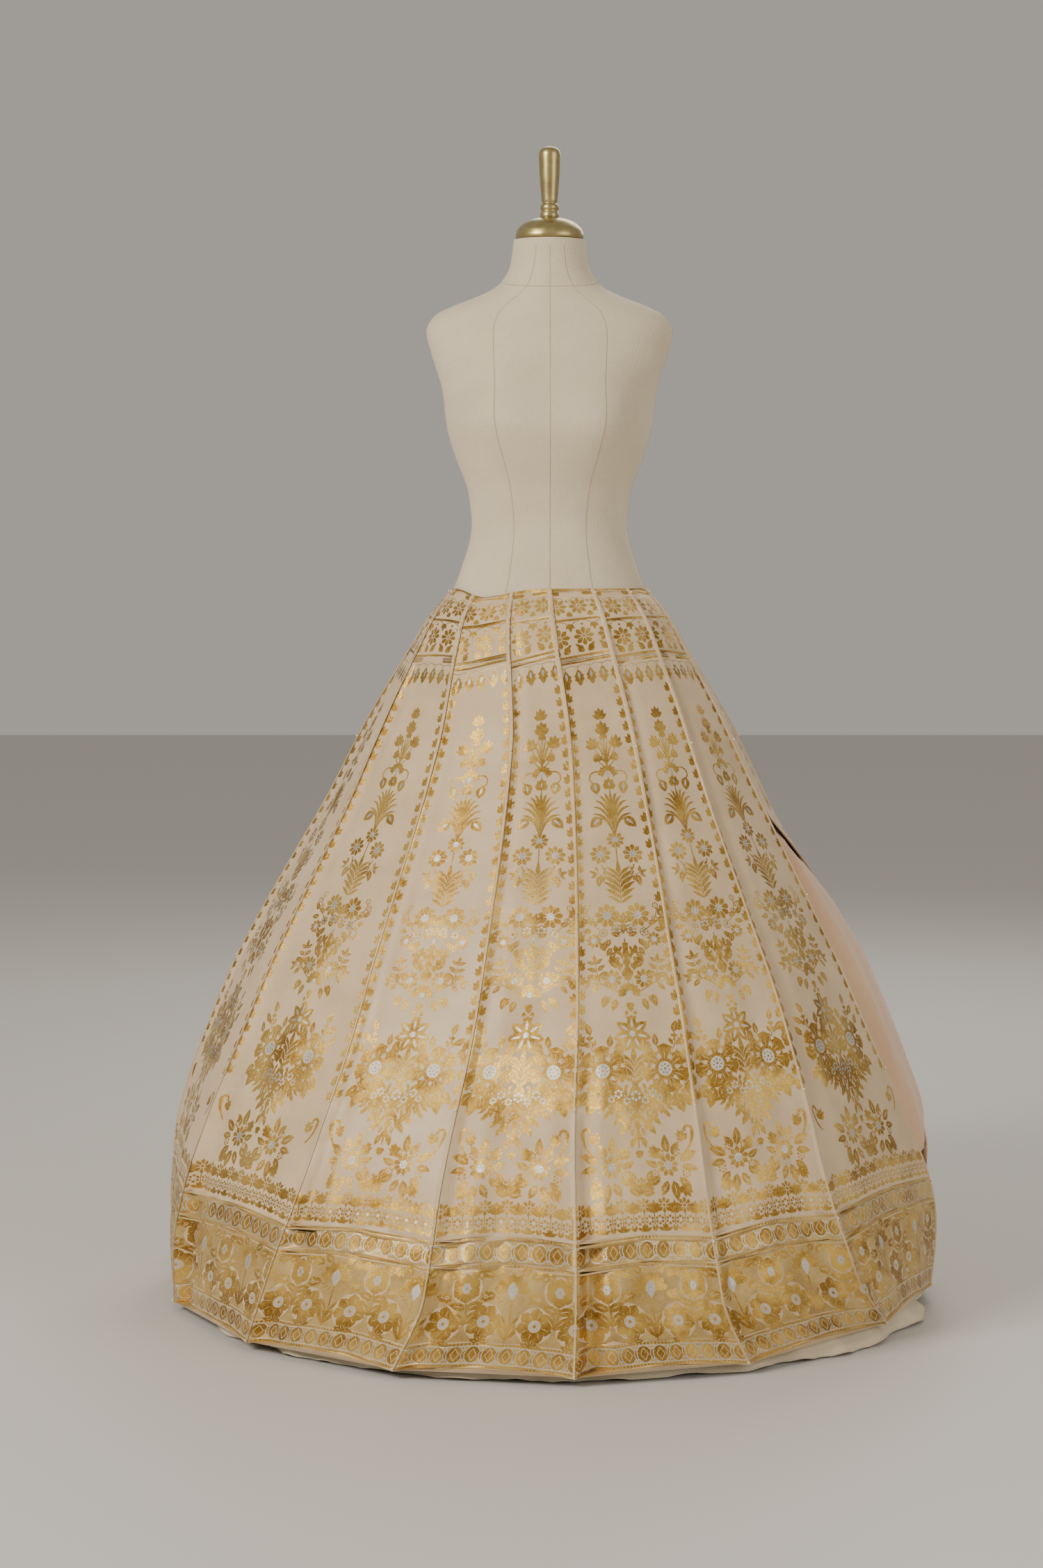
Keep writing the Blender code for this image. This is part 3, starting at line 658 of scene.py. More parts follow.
def centre_tree():
    """The tree of stacked buds, palm and daisies down the middle of a kali, y below the waist."""
    shapes = stroke([(0, -0.222), (0, -0.3), (0, -0.42), (0, -0.5)], 0.0018)
    shapes += moved(bud(0.02, 0.015), 0.0, -0.22)
    shapes += moved(bud(0.021, 0.02), 0.0, -0.243) + moved(bud(0.012, 0.013), 0.0, -0.252)
    shapes += paired(frond((0, -0.3), (0.001, -0.268), (0.006, -0.25), 0.0026))
    shapes += paired(frond((0, -0.302), (0.003, -0.272), (0.011, -0.258), 0.003))
    shapes += paired(stroke(bow((0, -0.29), (0.01, -0.28), (0.016, -0.264)), 0.0022, 0.0014))
    shapes += paired(bud(0.021, 0.0165), 0.0155, -0.266, 12.0)
    shapes += paired(stroke(bow((0, -0.296), (0.007, -0.294), (0.011, -0.286)), 0.002, 0.0014))
    shapes += paired(bud(0.014, 0.014), 0.0112, -0.286, 16.0)
    crown = rayed(blade(0.0115, 0.0056, fullness=0.62, blunt=0.6), 9, 0.004, -88.0, 176.0)
    shapes += moved(crown + moved(blade(0.011, 0.0066, thread=SILVER), y=-0.005), 0.0, -0.307)
    shapes += moved(bud(0.018, 0.02), 0.0, -0.33) + moved(blade(0.007, 0.0026, thread=SILVER), 0.0, -0.326)
    loop = moved(stroke(arc(0.0098, -86.0, 240.0, 12), 0.0026, 0.002), 0.0178, -0.312)
    shapes += paired(loop) + paired(veined_leaf(0.0205, 0.015, -0.12), 0.0225, -0.318, 196.0)
    shapes += moved(fountain(PALM_TIPS, 0.0042), 0.0, -0.39)
    shapes += paired(stroke(bow((0.001, -0.4), (0.008, -0.376), (0.018, -0.376)), 0.0024, 0.0018))
    shapes += paired(veined_leaf(0.0225, 0.016, 0.1), 0.016, -0.3745, 124.0)
    shapes += moved(daisy(0.014, 0.005), 0.0, -0.41)
    shapes += paired(daisy(0.016, 0.0062), 0.0235, -0.432)
    shapes += paired(stroke(bow((0.002, -0.48), (0.02, -0.464), (0.0235, -0.448)), 0.0018))
    shapes += paired(sprig(0.022, 2, 0.015), 0.015, -0.468, 66.0)
    shapes += paired(slit_leaf(0.0185, 0.01, 0.2), 0.025, -0.464, 152.0)
    return shapes + moved(plume(0.068, 6, 0.029), 0.0, -0.508)


def bouquet():
    """The cluster under the tree, which tapers to a point."""
    shapes = paired(daisy(0.0185, 0.0066), 0.0215, -0.525)
    shapes += moved(leafage(3, 0.018, 0.008, -34.0, 68.0), 0.0, -0.538)
    shapes += moved(leafage(3, 0.016, 0.007, 146.0, 68.0), 0.0, -0.538)
    shapes += pairs_sized(silver_flower, (0.01, -0.546, 0.0066), (0.029, -0.55, 0.0056))
    shapes += paired(daisy(0.0112, 0.0046), 0.0425, -0.56)
    shapes += pairs_sized(
        ring_flower, (0.048, -0.51, 0.005), (0.055, -0.52, 0.0054), (0.0455, -0.53, 0.0048),
    )
    shapes += paired(stroke(bow((0.028, -0.548), (0.046, -0.54), (0.05, -0.514)), 0.0014))
    shapes += pairs_at(
        slit_leaf(0.014, 0.0078, 0.15),
        (0.036, -0.538, 60), (0.044, -0.545, 84), (0.05, -0.534, 40), (0.02, -0.56, 140),
        (0.034, -0.564, 196), (0.006, -0.556, 60), (0.027, -0.562, 164),
    )
    shapes += moved(scattered_leaves(0.056, 0.023, 16, 0.012), 0.0, -0.566)
    shapes += moved(blade(0.011, 0.004, thread=SILVER), 0.0, -0.566)
    shapes += stroke([(0, -0.56), (0, -0.632)], 0.0018, 0.0012)
    shapes += paired(daisy(0.015, 0.0056), 0.0225, -0.618)
    shapes += paired(sprig(0.034, 3, 0.0165), 0.041, -0.62, 6.0)
    shapes += paired(sprig(0.02, 2, 0.016), 0.038, -0.624, 72.0)
    shapes += paired(stroke(bow((0.008, -0.64), (0.024, -0.632), (0.04, -0.621)), 0.0016))
    cup = rayed(blade(0.0135, 0.0066, fullness=0.62, blunt=0.6), 9, 0.003, -96.0, 192.0)
    shapes += moved(cup, 0.0, -0.639)
    shapes += moved(disc(0.004, 8, SILVER), 0.0, -0.639) + moved(bud(0.012, 0.011), 0.0, -0.652, 180.0)
    return shapes + pairs_at(
        slit_leaf(0.018, 0.0096, 0.15),
        (0.026, -0.643, 118), (0.033, -0.64, 158), (0.018, -0.646, 150), (0.012, -0.602, 40),
    )


def great_blossoms():
    """The star, the two great blossoms and the leaf mass that hangs from them to a point."""
    shapes = moved(flower(0.0095, 5, 0.0024, SILK), 0.0, -0.668)
    star = rayed(veined_leaf(0.024, 0.014), 7, 0.003) + disc(0.0042, 8, SILVER)
    shapes += moved(star, 0.0, -0.695)
    shapes += moved(plume(0.056, 4, 0.033), 0.0, -0.764)
    shapes += paired(blossom(0.0345), 0.044, -0.743)
    shapes += paired(flower(0.0085, 3, 0.002), 0.059, -0.702)
    shapes += paired(stroke(bow((0.055, -0.716), (0.064, -0.704), (0.058, -0.688)), 0.0014))
    shapes += pairs_at(
        slit_leaf(0.018, 0.0094, 0.1),
        (0.058, -0.692, 12), (0.066, -0.706, 40), (0.033, -0.712, -12), (0.025, -0.718, -40),
        (0.015, -0.722, 20), (0.074, -0.722, 24),
    )
    shapes += moved(scattered_leaves(0.086, 0.044, 36, 0.014), 0.0, -0.76)
    shapes += paired(scattered_leaves(0.02, 0.016, 5, 0.0125), 0.03, -0.772)
    shapes += moved(silver_flower(0.0078), 0.0, -0.78)
    shapes += pairs_sized(
        silver_flower, (0.013, -0.786, 0.0056), (0.024, -0.776, 0.0062), (0.034, -0.783, 0.0052),
    )
    shapes += paired(slit_leaf(0.031, 0.017), 0.056, -0.773, 158.0)
    shapes += paired(slit_leaf(0.023, 0.013, 0.2), 0.064, -0.77, 118.0)
    shapes += paired(slit_leaf(0.024, 0.011, -0.1), 0.048, -0.774, 192.0)
    shapes += paired(feather(0.034, 7), 0.034, -0.802, 14.0)
    shapes += pairs_at(ring_flower(0.0058), (0.008, -0.796), (0.029, -0.793), (0.018, -0.804))
    shapes += moved(ring_flower(0.0058), 0.0, -0.812)
    return shapes + moved(bud(0.012, 0.01), 0.0, -0.854, 180.0)


def lower_bouquets():
    """The pair of bouquets between the blossoms' point and the border, joined by a low spray."""
    shapes = []
    for x, y, length, turn in (
        (0.04, -0.858, 0.025, -18), (0.046, -0.86, 0.021, 22), (0.058, -0.868, 0.027, 48),
        (0.06, -0.876, 0.022, 82), (0.056, -0.89, 0.024, 128), (0.046, -0.895, 0.027, 160),
        (0.038, -0.895, 0.022, 196), (0.028, -0.89, 0.023, 232), (0.026, -0.876, 0.02, 284),
        (0.03, -0.866, 0.022, 318),
    ):
        shapes += paired(slit_leaf(length, length * 0.48, 0.18), x, y, turn)
    shapes += paired(daisy(0.0165, 0.0068), 0.04, -0.874)
    shapes += paired(bud(0.019, 0.016), 0.06, -0.9, 146.0)
    shapes += paired(bud(0.017, 0.014), 0.025, -0.862, -40.0)
    shapes += pairs_sized(
        ring_flower, (0.052, -0.856, 0.0068), (0.029, -0.858, 0.0058), (0.066, -0.884, 0.0066),
        (0.021, -0.886, 0.0066), (0.033, -0.906, 0.006),
    )
    shapes += paired(stroke(bow((0.024, -0.89), (0.012, -0.888), (0.0, -0.91)), 0.0022))
    shapes += paired(slit_leaf(0.017, 0.009, 0.2), 0.009, -0.896, 16.0)
    shapes += paired(disc(0.0046, 8), 0.013, -0.906)
    shapes += moved(flower(0.009, 7, 0.0024, SILVER), 0.0, -0.898)
    return shapes + moved(leafage(5, 0.019, 0.0096, -80.0, 160.0), 0.0, -0.912)


def edge_scroll():
    """A small S-shaped scroll with a bud, for the side of a kali."""
    curl = stroke(arc(0.0056, -120.0, 250.0, 8), 0.0036, 0.0048)
    stem = stroke(bow((0.0048, 0.0005), (0.0064, -0.018), (-0.006, -0.031)), 0.0048, 0.0024)
    return curl + stem + moved(bud(0.017, 0.013), -0.006, -0.015, -34.0)


def band(top, bottom, thread, half_width):
    points = [(-half_width, -top), (-half_width, -bottom), (half_width, -bottom), (half_width, -top)]
    return [(np.array(points), thread)]


def repeated(unit, pitch, y, half_width, phase=0.0):
    """A row of one repeat across the kali, from its middle out."""
    count = int(half_width / pitch) + 1
    done = []
    for i in range(-count, count + 1):
        done += moved(unit, (i + phase % 1.0) * pitch, y)
    return done


class Kali:
    """One kali laid flat: y runs down from the waist along the cloth, x across from its middle."""

    def __init__(self, index):
        self.index = index
        self.falls = np.linspace(0.0, 1.0, 161)
        across = np.linspace(0.0, 1.0, 13)
        rows = kali_point(index, across[None, :], self.falls[:, None])
        self.widths = np.linalg.norm(np.diff(rows, axis=1), axis=2).sum(axis=1)
        middle = kali_point(0, np.full(161, 0.5), self.falls)
        steps = np.linalg.norm(np.diff(middle, axis=0), axis=1)
        self.downs = np.concatenate([[0.0], np.cumsum(steps)])
        self.downs *= LENGTH / self.downs[-1]
        self.area = float(((self.widths[1:] + self.widths[:-1]) / 2.0 * np.diff(self.downs)).sum())

    def width(self, down):
        return np.interp(down, self.downs, self.widths)

    def outline(self):
        downs = np.linspace(0.0, LENGTH, 90)
        halves = self.width(downs) / 2.0
        across = np.linspace(-1.0, 1.0, 22)[1:-1]
        bottom = np.stack([across * halves[-1], np.full(20, -LENGTH)], axis=1)
        top = np.stack([across[::-1][::3] * halves[0], np.zeros(7)], axis=1)
        left = np.stack([-halves, -downs], axis=1)
        right = np.stack([halves, -downs], axis=1)[::-1]
        return np.concatenate([left, bottom, right, top])

    def slanted(self, shapes):
        """The yoke's rows tilt in each kali, and straighten below it."""
        done = []
        for points, thread in shapes:
            share = np.interp(-points[:, 1], (0.0, 0.1, 0.2, 0.35), (0.2, 1.0, 0.8, 0.0))
            lift = YOKE_SLANTS[self.index] * points[:, 0] * share
            done.append((np.stack([points[:, 0], points[:, 1] + lift], axis=1), thread))
        return done

    def yoke(self):
        phase = 0.5 * (self.index % 2)
        half = self.width(0.16) / 2.0 + 0.01
        shapes = band(-0.0060, 0.0110, GOLD, half) + band(0.0040, 0.0048, SILK, half)
        shapes += repeated(top_flower(), 0.0310, -0.0300, half, phase)
        shapes += band(0.0500, 0.0540, GOLD, half)
        shapes += repeated(framed_flower(), 0.0360, -0.0800, half, phase)
        shapes += band(0.1085, 0.1215, GOLD, half) + band(0.1122, 0.1130, SILK, half)
        shapes += band(0.1142, 0.1156, SILVER, half) + band(0.1172, 0.1180, SILK, half)
        shapes += repeated(drop_unit(), 0.0185, -0.1250, half, phase)
        return self.slanted(shapes)

    def vines(self):
        """Small leaves down both edges, and the stem that they grow from."""
        shapes = []
        for step in range(VINE_LEAVES):
            down = VINE_TOP + VINE_STEP * step
            half = self.width(down) / 2.0
            shapes += moved(vine_leaf(), 0.0016 - half, -down, 8.0)
            shapes += moved(vine_leaf(), half - ridge_width(down) - 0.0018, -down - 0.006, 8.0, flip=True)
        downs = np.linspace(0.165, 0.790, 22)
        halves = self.width(downs) / 2.0
        for edge in (0.0012 - halves, halves - ridge_width(downs) - RIDGE_SLOPE):
            shapes += stroke(np.stack([edge, -downs], axis=1), 0.0014)
        return shapes

    def border(self):
        half = self.width(1.0) / 2.0 + 0.045
        shapes = repeated(fringe_unit(), 0.0300, -0.9640, half)
        for top in (0.9655, 1.0010, 1.1080, 1.1385):
            shapes += band(top, top + 0.0042, GROUND, half)
            shapes += repeated(disc(0.0019, 4), 0.0052, -top - 0.0021, half)
        for top, bottom in ((0.9715, 0.9985), (1.1140, 1.1365)):
            shapes += band(top, bottom, GROUND, half)
            shapes += repeated(lattice_unit(), 0.0240, -(top + bottom) / 2.0, half)
        shapes += band(1.0065, 1.1065, GROUND, half)
        shapes += repeated(border_unit(), 0.1270, -1.0560, half, 0.24 * self.index)
        return shapes

    def shapes(self):
        done = self.yoke() + self.vines() + self.slanted(centre_tree()) + bouquet() + great_blossoms()
        done += lower_bouquets()
        scroll = self.width(0.83) / 2.0 - 0.016
        return done + paired(edge_scroll(), scroll, -0.8250) + self.border()

    def ridge_strip(self):
        """The bare turned-up edge along the right seam."""
        downs = np.linspace(0.0, LENGTH, 90)
        halves = self.width(downs) / 2.0
        wide = ridge_width(downs)
        strips = []
        for near, far in ((wide + RIDGE_SLOPE, wide), (wide, 0.0012)):
            inner = np.stack([halves - near, -downs], axis=1)
            outer = np.stack([halves - far, -downs], axis=1)[::-1]
            strips.append((np.concatenate([inner, outer]), SILK))
        return strips

    def lie(self, flat):
        """The points of the flat cloth as it hangs, with its turned-up seam edge."""
        down = -flat[:, 1]
        width = self.width(down)
        share = np.clip(0.5 + flat[:, 0] / width, 0.0, 1.0)
        fall = np.interp(down, self.downs, self.falls)
        from_right = (1.0 - share) * width
        from_left = share * width
        tall = SEAM_RIDGE * np.minimum(1.0, ridge_width(down) / 0.0040)
        ridge = tall * eased((ridge_width(down) + RIDGE_SLOPE - from_right) / RIDGE_SLOPE)
        ridge = ridge * (0.55 + 0.45 * eased((down - 0.01) / 0.03))
        ridge = ridge - 0.0006 * eased((0.0016 - from_right) / 0.0016)
        tuck = 0.0007 * eased(1.0 - from_left / 0.0030)
        return kali_point(self.index, share, fall, ridge - tuck)

    def inner_points(self, step):
        """A grid over the cloth, closer across the fold at its left."""
        points = []
        for row, down in enumerate(np.arange(0.005, LENGTH - 0.004, step)):
            width = self.width(down)
            fold = np.arange(0.004, FOLD_END * width, 0.0055 + 0.0015 * (row % 2))
            count = max(2, int(0.7 * width / step))
            rest = np.linspace(FOLD_END * width + 0.4 * step, width - 0.0085, count)
            points += [Vector((x - width / 2.0, -down)) for x in (*fold, *rest)]
        return points

    def back_layer(self, edge, first):
        """The plain back of the cloth: its edge twice, for the thickness, and a coarse grid inside."""
        count = len(edge)
        points = [Vector(p) for p in edge] + self.inner_points(BACK_STEP)
        found = delaunay_2d_cdt(points, [], [list(range(count))], 1, CUT_TOLERANCE)
        inside = np.array([tuple(p) for p in found[0]])
        ring = np.arange(count)
        after = np.roll(ring, -1)
        rim = np.concatenate([
            np.stack([ring, after, after + count], axis=1), np.stack([ring, after + count, ring + count], axis=1),
        ])
        back = np.array([face[::-1] for face in found[2]]) + count
        return np.concatenate([edge, inside]), first + np.concatenate([rim[:, ::-1], back])

    def cloth(self, materials):
        """The kali as one sheet whose faces are silk, gold or silver."""
        points, loops, threads, boxes = [], [], [], []

        def put(outline, thread):
            x, y = outline[:, 0], outline[:, 1]
            if (x * np.roll(y, -1) - y * np.roll(x, -1)).sum() < 0.0:
                outline = outline[::-1]
            loops.append(list(range(len(points), len(points) + len(outline))))
            points.extend(Vector(p) for p in outline)
            threads.append(thread)
            boxes.append((*outline.min(axis=0), *outline.max(axis=0)))

        edge = self.outline()
        put(edge, SILK)
        for outline, thread in self.shapes() + self.ridge_strip():
            half = self.width(-outline[:, 1].mean()) / 2.0
            beside = outline[:, 0].min() > half or outline[:, 0].max() < -half
            beyond = outline[:, 1].min() > 0.0 or outline[:, 1].max() < -LENGTH
            if not beside and not beyond:
                put(outline, thread)
        points += self.inner_points(GRID_STEP)
        found = delaunay_2d_cdt(points, [], loops, 1, CUT_TOLERANCE)
        flat = np.array([tuple(p) for p in found[0]])
        corners = np.array([tuple(face) for face in found[2]])
        faces, slots = [], []
        for face, owners, (x, y) in zip(corners, found[5], flat[corners].mean(axis=1)):
            # A very thin shape may claim faces far outside it, so only the shapes around this face count.
            spans = [(i, *boxes[i]) for i in owners]
            around = [i for i, left, low, right, high in spans if left <= x <= right and low <= y <= high]
            if 0 in around:
                faces.append(face)
                slots.append(threads[max(around)])
        used = np.unique(np.array(faces))
        renumber = np.zeros(len(flat), int)
        renumber[used] = np.arange(len(used))
        faces = renumber[np.array(faces)]
        flat = flat[used]
        back_flat, back_faces = self.back_layer(edge, len(flat))
        slots += [SILK] * len(back_faces)
        outer, back = self.lie(flat), self.lie(back_flat)
        inwards = back[len(edge):] * [1.0, 1.0, 0.0]
        back[len(edge):] -= BACK_DEPTH * inwards / np.linalg.norm(inwards, axis=1)[:, None]
        flat = np.concatenate([flat, back_flat])
        faces = np.concatenate([faces, back_faces])
        spots = np.concatenate([outer, back])
        name = f"brocade_{self.index + 1:02d}"
        mesh = bpy.data.meshes.new(name)
        mesh.from_pydata(spots.tolist(), [], faces.tolist())
        mesh.polygons.foreach_set("material_index", slots)
        layer = mesh.uv_layers.new(name="flat_metres")
        corners = flat[faces.reshape(-1)] + [0.31 * self.index, 0.0]
        layer.data.foreach_set("uv", corners.reshape(-1))
        mesh.shade_smooth()
        mesh.set_sharp_from_angle(angle=math.radians(70.0))
        obj = add_piece(name, mesh, materials)
        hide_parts(f"kali_{self.index + 1:02d}")
        return obj


def new_object(name, data):
    obj = bpy.data.objects.new(name, data)
    bpy.context.scene.collection.objects.link(obj)
    return obj


def add_piece(name, mesh, materials):
    for material in materials:
        mesh.materials.append(material)
    obj = new_object(name, mesh)
    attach(obj, "root")
    return obj


def mapped_grid(columns, rows, place, ring=False):
    """A grid whose points place(across, down) sets in space. A ring's two side edges are joined."""
    bm = bmesh.new()
    bmesh.ops.create_grid(bm, x_segments=columns, y_segments=rows, size=0.5, calc_uvs=True)
    across = np.array([v.co.x + 0.5 for v in bm.verts])
    down = np.array([0.5 - v.co.y for v in bm.verts])
    layer = bm.loops.layers.uv.verify()
    for face in bm.faces:
        for loop in face.loops:
            loop[layer].uv = (loop.vert.co.x + 0.5, loop.vert.co.y + 0.5)
    for vert, point in zip(bm.verts, place(across, down)):
        vert.co = point
    if ring:
        bmesh.ops.remove_doubles(bm, verts=bm.verts, dist=MERGE_DISTANCE)
    return bm


def mesh_from(bm, name, smooth=True):
    mesh = bpy.data.meshes.new(name)
    bm.to_mesh(mesh)
    bm.free()
    if smooth:
        mesh.shade_smooth()
    return mesh


def opening_nearness(azimuth, height):
    """Degrees in from the nearer edge of the side opening, below zero behind the brocade."""
    front = seam_azimuth(OPEN_SEAM, height)
    width = OPENING_WIDTH_DEG * column(OPENING, "share", height)
    return width / 2.0 - np.abs((azimuth - front - width / 2.0 + 180.0) % 360.0 - 180.0)


def net_place(across, down):
    azimuth = 360.0 * across
    height = np.minimum(WAIST_HEIGHT + (NET_HEM - WAIST_HEIGHT) * down, waist_height(azimuth) - NET_TOP_DROP)
    hang = column(BELL, "lining_gap", height) + BROCADE_WALL + WAIST_GAP
    near = opening_nearness(azimuth, height)
    low = np.minimum(hang, EDGE_PULL + BROCADE_WALL + WAIST_GAP + NET_EDGE_SINK * (near < NET_EDGE_SINK_DEG))
    gathers = 0.0007 * np.sin(azimuth * 1.2 + 2.0 * np.sin(9.0 * height)) * eased((WAIST_HEIGHT - height) / 0.2)
    billow = 0.0016 * np.sin(azimuth * 0.7 + 5.0 * height) + 0.0010 * np.sin(azimuth * 1.0 - 17.0 * height)
    puff = eased((near - 0.5) / 6.0)
    open_here = np.minimum(1.0, 6.0 * column(OPENING, "share", height))
    inset = hang + (low - hang) * eased((near + 7.0) / 7.0) * open_here
    return bell_point(azimuth, height, inset - (low + PUFF) * puff - gathers - billow * puff)


def flounce_place(across, down):
    """The flounce, whose waves grow towards its hem, flared on the floor below the brocade's hem."""
    azimuth = 360.0 * across
    angle = np.radians(azimuth)
    knee = FLOUNCE_KNEE + hem_lift(azimuth)
    ruffle = 0.0035 * np.sin(angle * 41.0 + 1.5 * np.sin(angle * 9.0)) * eased((down - 0.75) / 0.25)
    height = FLOUNCE_TOP + (FLOUNCE_HEM - FLOUNCE_TOP) * down
    growth = eased((FLOUNCE_TOP - height) / FLOUNCE_TOP)
    beat = 0.6 + 0.4 * np.sin(angle * 5.0)
    wave = FLOUNCE_WAVE_DEPTH * growth * (1.0 - beat * np.cos(angle * FLOUNCE_WAVES))
    hang = column(BELL, "lining_gap", height) + BROCADE_WALL + WAIST_GAP
    swing = FLOUNCE_SWING * growth * bump(azimuth, FLOUNCE_SWING_AZIMUTH, FLOUNCE_SWING_SPREAD)
    flare = FLOUNCE_FLARE * np.maximum(0.0, knee - height) * (1.25 + 0.35 * np.sin(angle * 17.0))
    lifted = height + np.maximum(0.0, ruffle) * 0.8
    return bell_point(azimuth, lifted, hang + wave - swing - flare - ruffle)


def form_place(azimuth, height):
    """The outside of the torso, with the waist shaped to the skirt that it carries."""
    angle = np.radians(azimuth)
    half_width = column(FORM, "half_width", height)
    depth = np.where(np.cos(angle) > 0.0, column(FORM, "front", height), column(FORM, "back", height))
    sides = bump(azimuth, BUST_AZIMUTH, BUST_SPREAD_DEG) + bump(azimuth, -BUST_AZIMUTH, BUST_SPREAD_DEG)
    swell = BUST_DEPTH * sides * np.exp(-(((height - BUST_HEIGHT) / BUST_SPREAD) ** 2))
    x, y = (half_width + swell / 2.0) * np.sin(angle), -(depth + swell) * np.cos(angle)
    level = waist_height(azimuth) - NET_TOP_DROP
    hang = column(BELL, "lining_gap", level) + BROCADE_WALL + WAIST_GAP
    seat = bell_point(azimuth, level, hang + NET_WALL + FORM_GAP)
    near = np.exp(-(((height - level) / SEAT_SPREAD) ** 2))
    own_width = column(FORM, "half_width", level)
    own_depth = np.where(np.cos(angle) > 0.0, column(FORM, "front", level), column(FORM, "back", level))
    x = x + near * (seat[..., 0] - own_width * np.sin(angle))
    y = y + near * (seat[..., 1] + own_depth * np.cos(angle))
    return np.stack(np.broadcast_arrays(x, y, height), axis=-1)


def add_strip(whole, strip):
    """Adds one strip's faces to a bigger mesh."""
    mesh = mesh_from(strip, "strip")
    whole.from_mesh(mesh)
    bpy.data.meshes.remove(mesh)


def raised(line, crown):
    """Points of the torso lifted outwards by their crown heights."""
    out = line * [1.0, 1.0, 0.0]
    return line + out / np.linalg.norm(out, axis=1)[:, None] * crown[:, None]


def tape_crown(across):
    """A tape stands proud all over but at its two edges."""
    return np.where(np.abs(across - 0.5) < TAPE_FLAT, TAPE_CROWN, TAPE_FOOT)


def upright_tape(track, across, down):
    """A stitched seam of the cover, from the hips to the neck."""
    height = TAPE_HEIGHTS[0] + (TAPE_HEIGHTS[-1] - TAPE_HEIGHTS[0]) * (1.0 - down)
    offset = np.degrees((across - 0.5) * TAPE_WIDTH / column(FORM, "half_width", height))
    line = form_place(curve(TAPE_HEIGHTS, track, height) + offset, height)
    return raised(line, tape_crown(across))


def neck_tape(across, down):
    azimuth = 360.0 * across
    height = NECK_SEAM_HEIGHT - 0.012 * np.cos(np.radians(azimuth)) + (down - 0.5) * TAPE_WIDTH
    return raised(form_place(azimuth, height), tape_crown(down))


def build_form(linen, thread, gilt):
    bottom, top = FORM[0].height, FORM[-1].height
    shift = 0.0004

    def torso_place(across, down):
        return form_place(360.0 * across, top - shift + (bottom + shift - top) * down)

    bm = mapped_grid(*TORSO_GRID, torso_place, ring=True)
    bmesh.ops.holes_fill(bm, edges=[e for e in bm.edges if e.is_boundary])
    bmesh.ops.recalc_face_normals(bm, faces=bm.faces)
    torso = add_piece("covered_torso", mesh_from(bm, "covered_torso"), [linen])
    torso.data.set_sharp_from_angle(angle=math.radians(50.0))
    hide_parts("form_torso")

    seams = bmesh.new()
    for track in FORM_SEAMS:
        add_strip(seams, mapped_grid(3, 150, lambda across, down: upright_tape(track, across, down)))
    add_strip(seams, mapped_grid(120, 3, neck_tape, ring=True))
    bmesh.ops.recalc_face_normals(seams, faces=seams.faces)
    lines = add_piece("form_seams", mesh_from(seams, "form_seams"), [thread])

    for name, profile, node in (("neck_cap", NECK_CAP, "form_neck_cap"), ("finial", FINIAL, "form_finial")):
        piece = add_piece(name, turned_mesh(name, profile), [gilt])
        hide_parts(node)


def turned_mesh(name, profile):
    """A turned piece: its profile smoothed, then spun about the upright axis."""
    bm = bmesh.new()
    solid = [row for row in profile if row.radius > 0.0]
    reach = np.linspace(0.0, len(solid) - 1.0, 6 * len(solid))
    radii = curve(range(len(solid)), [row.radius for row in solid], reach)
    heights = curve(range(len(solid)), [row.height for row in solid], reach)
    points = [(0.0, solid[0].height), *zip(radii, heights), (0.0, solid[-1].height)]
    verts = [bm.verts.new((r, 0.0, NECK_TOP + h)) for r, h in points]
    edges = [bm.edges.new(pair) for pair in zip(verts, verts[1:])]
    turn = {"cent": (0, 0, 0), "axis": (0, 0, 1), "angle": 2.0 * math.pi, "steps": 64, "use_merge": True}
    bmesh.ops.spin(bm, geom=verts + edges, **turn)
    bmesh.ops.remove_doubles(bm, verts=bm.verts, dist=MERGE_DISTANCE)
    bmesh.ops.recalc_face_normals(bm, faces=bm.faces)
    return mesh_from(bm, name)


def hung_cloth(name, grid, place, material):
    """A skirt layer as a ring of cloth whose thickness lies on its inside."""
    bm = mapped_grid(*grid, place, ring=True)
    bmesh.ops.recalc_face_normals(bm, faces=bm.faces)
    obj = add_piece(name, mesh_from(bm, name), [material])
    mesh = obj.data
    if sum(p.normal.x * p.center.x + p.normal.y * p.center.y for p in mesh.polygons) < 0.0:
        mesh.flip_normals()
    wall = obj.modifiers.new("wall", "SOLIDIFY")
    wall.thickness = CLOTH_THICKNESS
    wall.offset = -1.0
    return obj


def build_net(net):
    obj = hung_cloth("net_underskirt", NET_GRID, net_place, net)
    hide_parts("underskirt_net_yoke", "underskirt_net_upper", "underskirt_net_middle", "underskirt_net_lower")


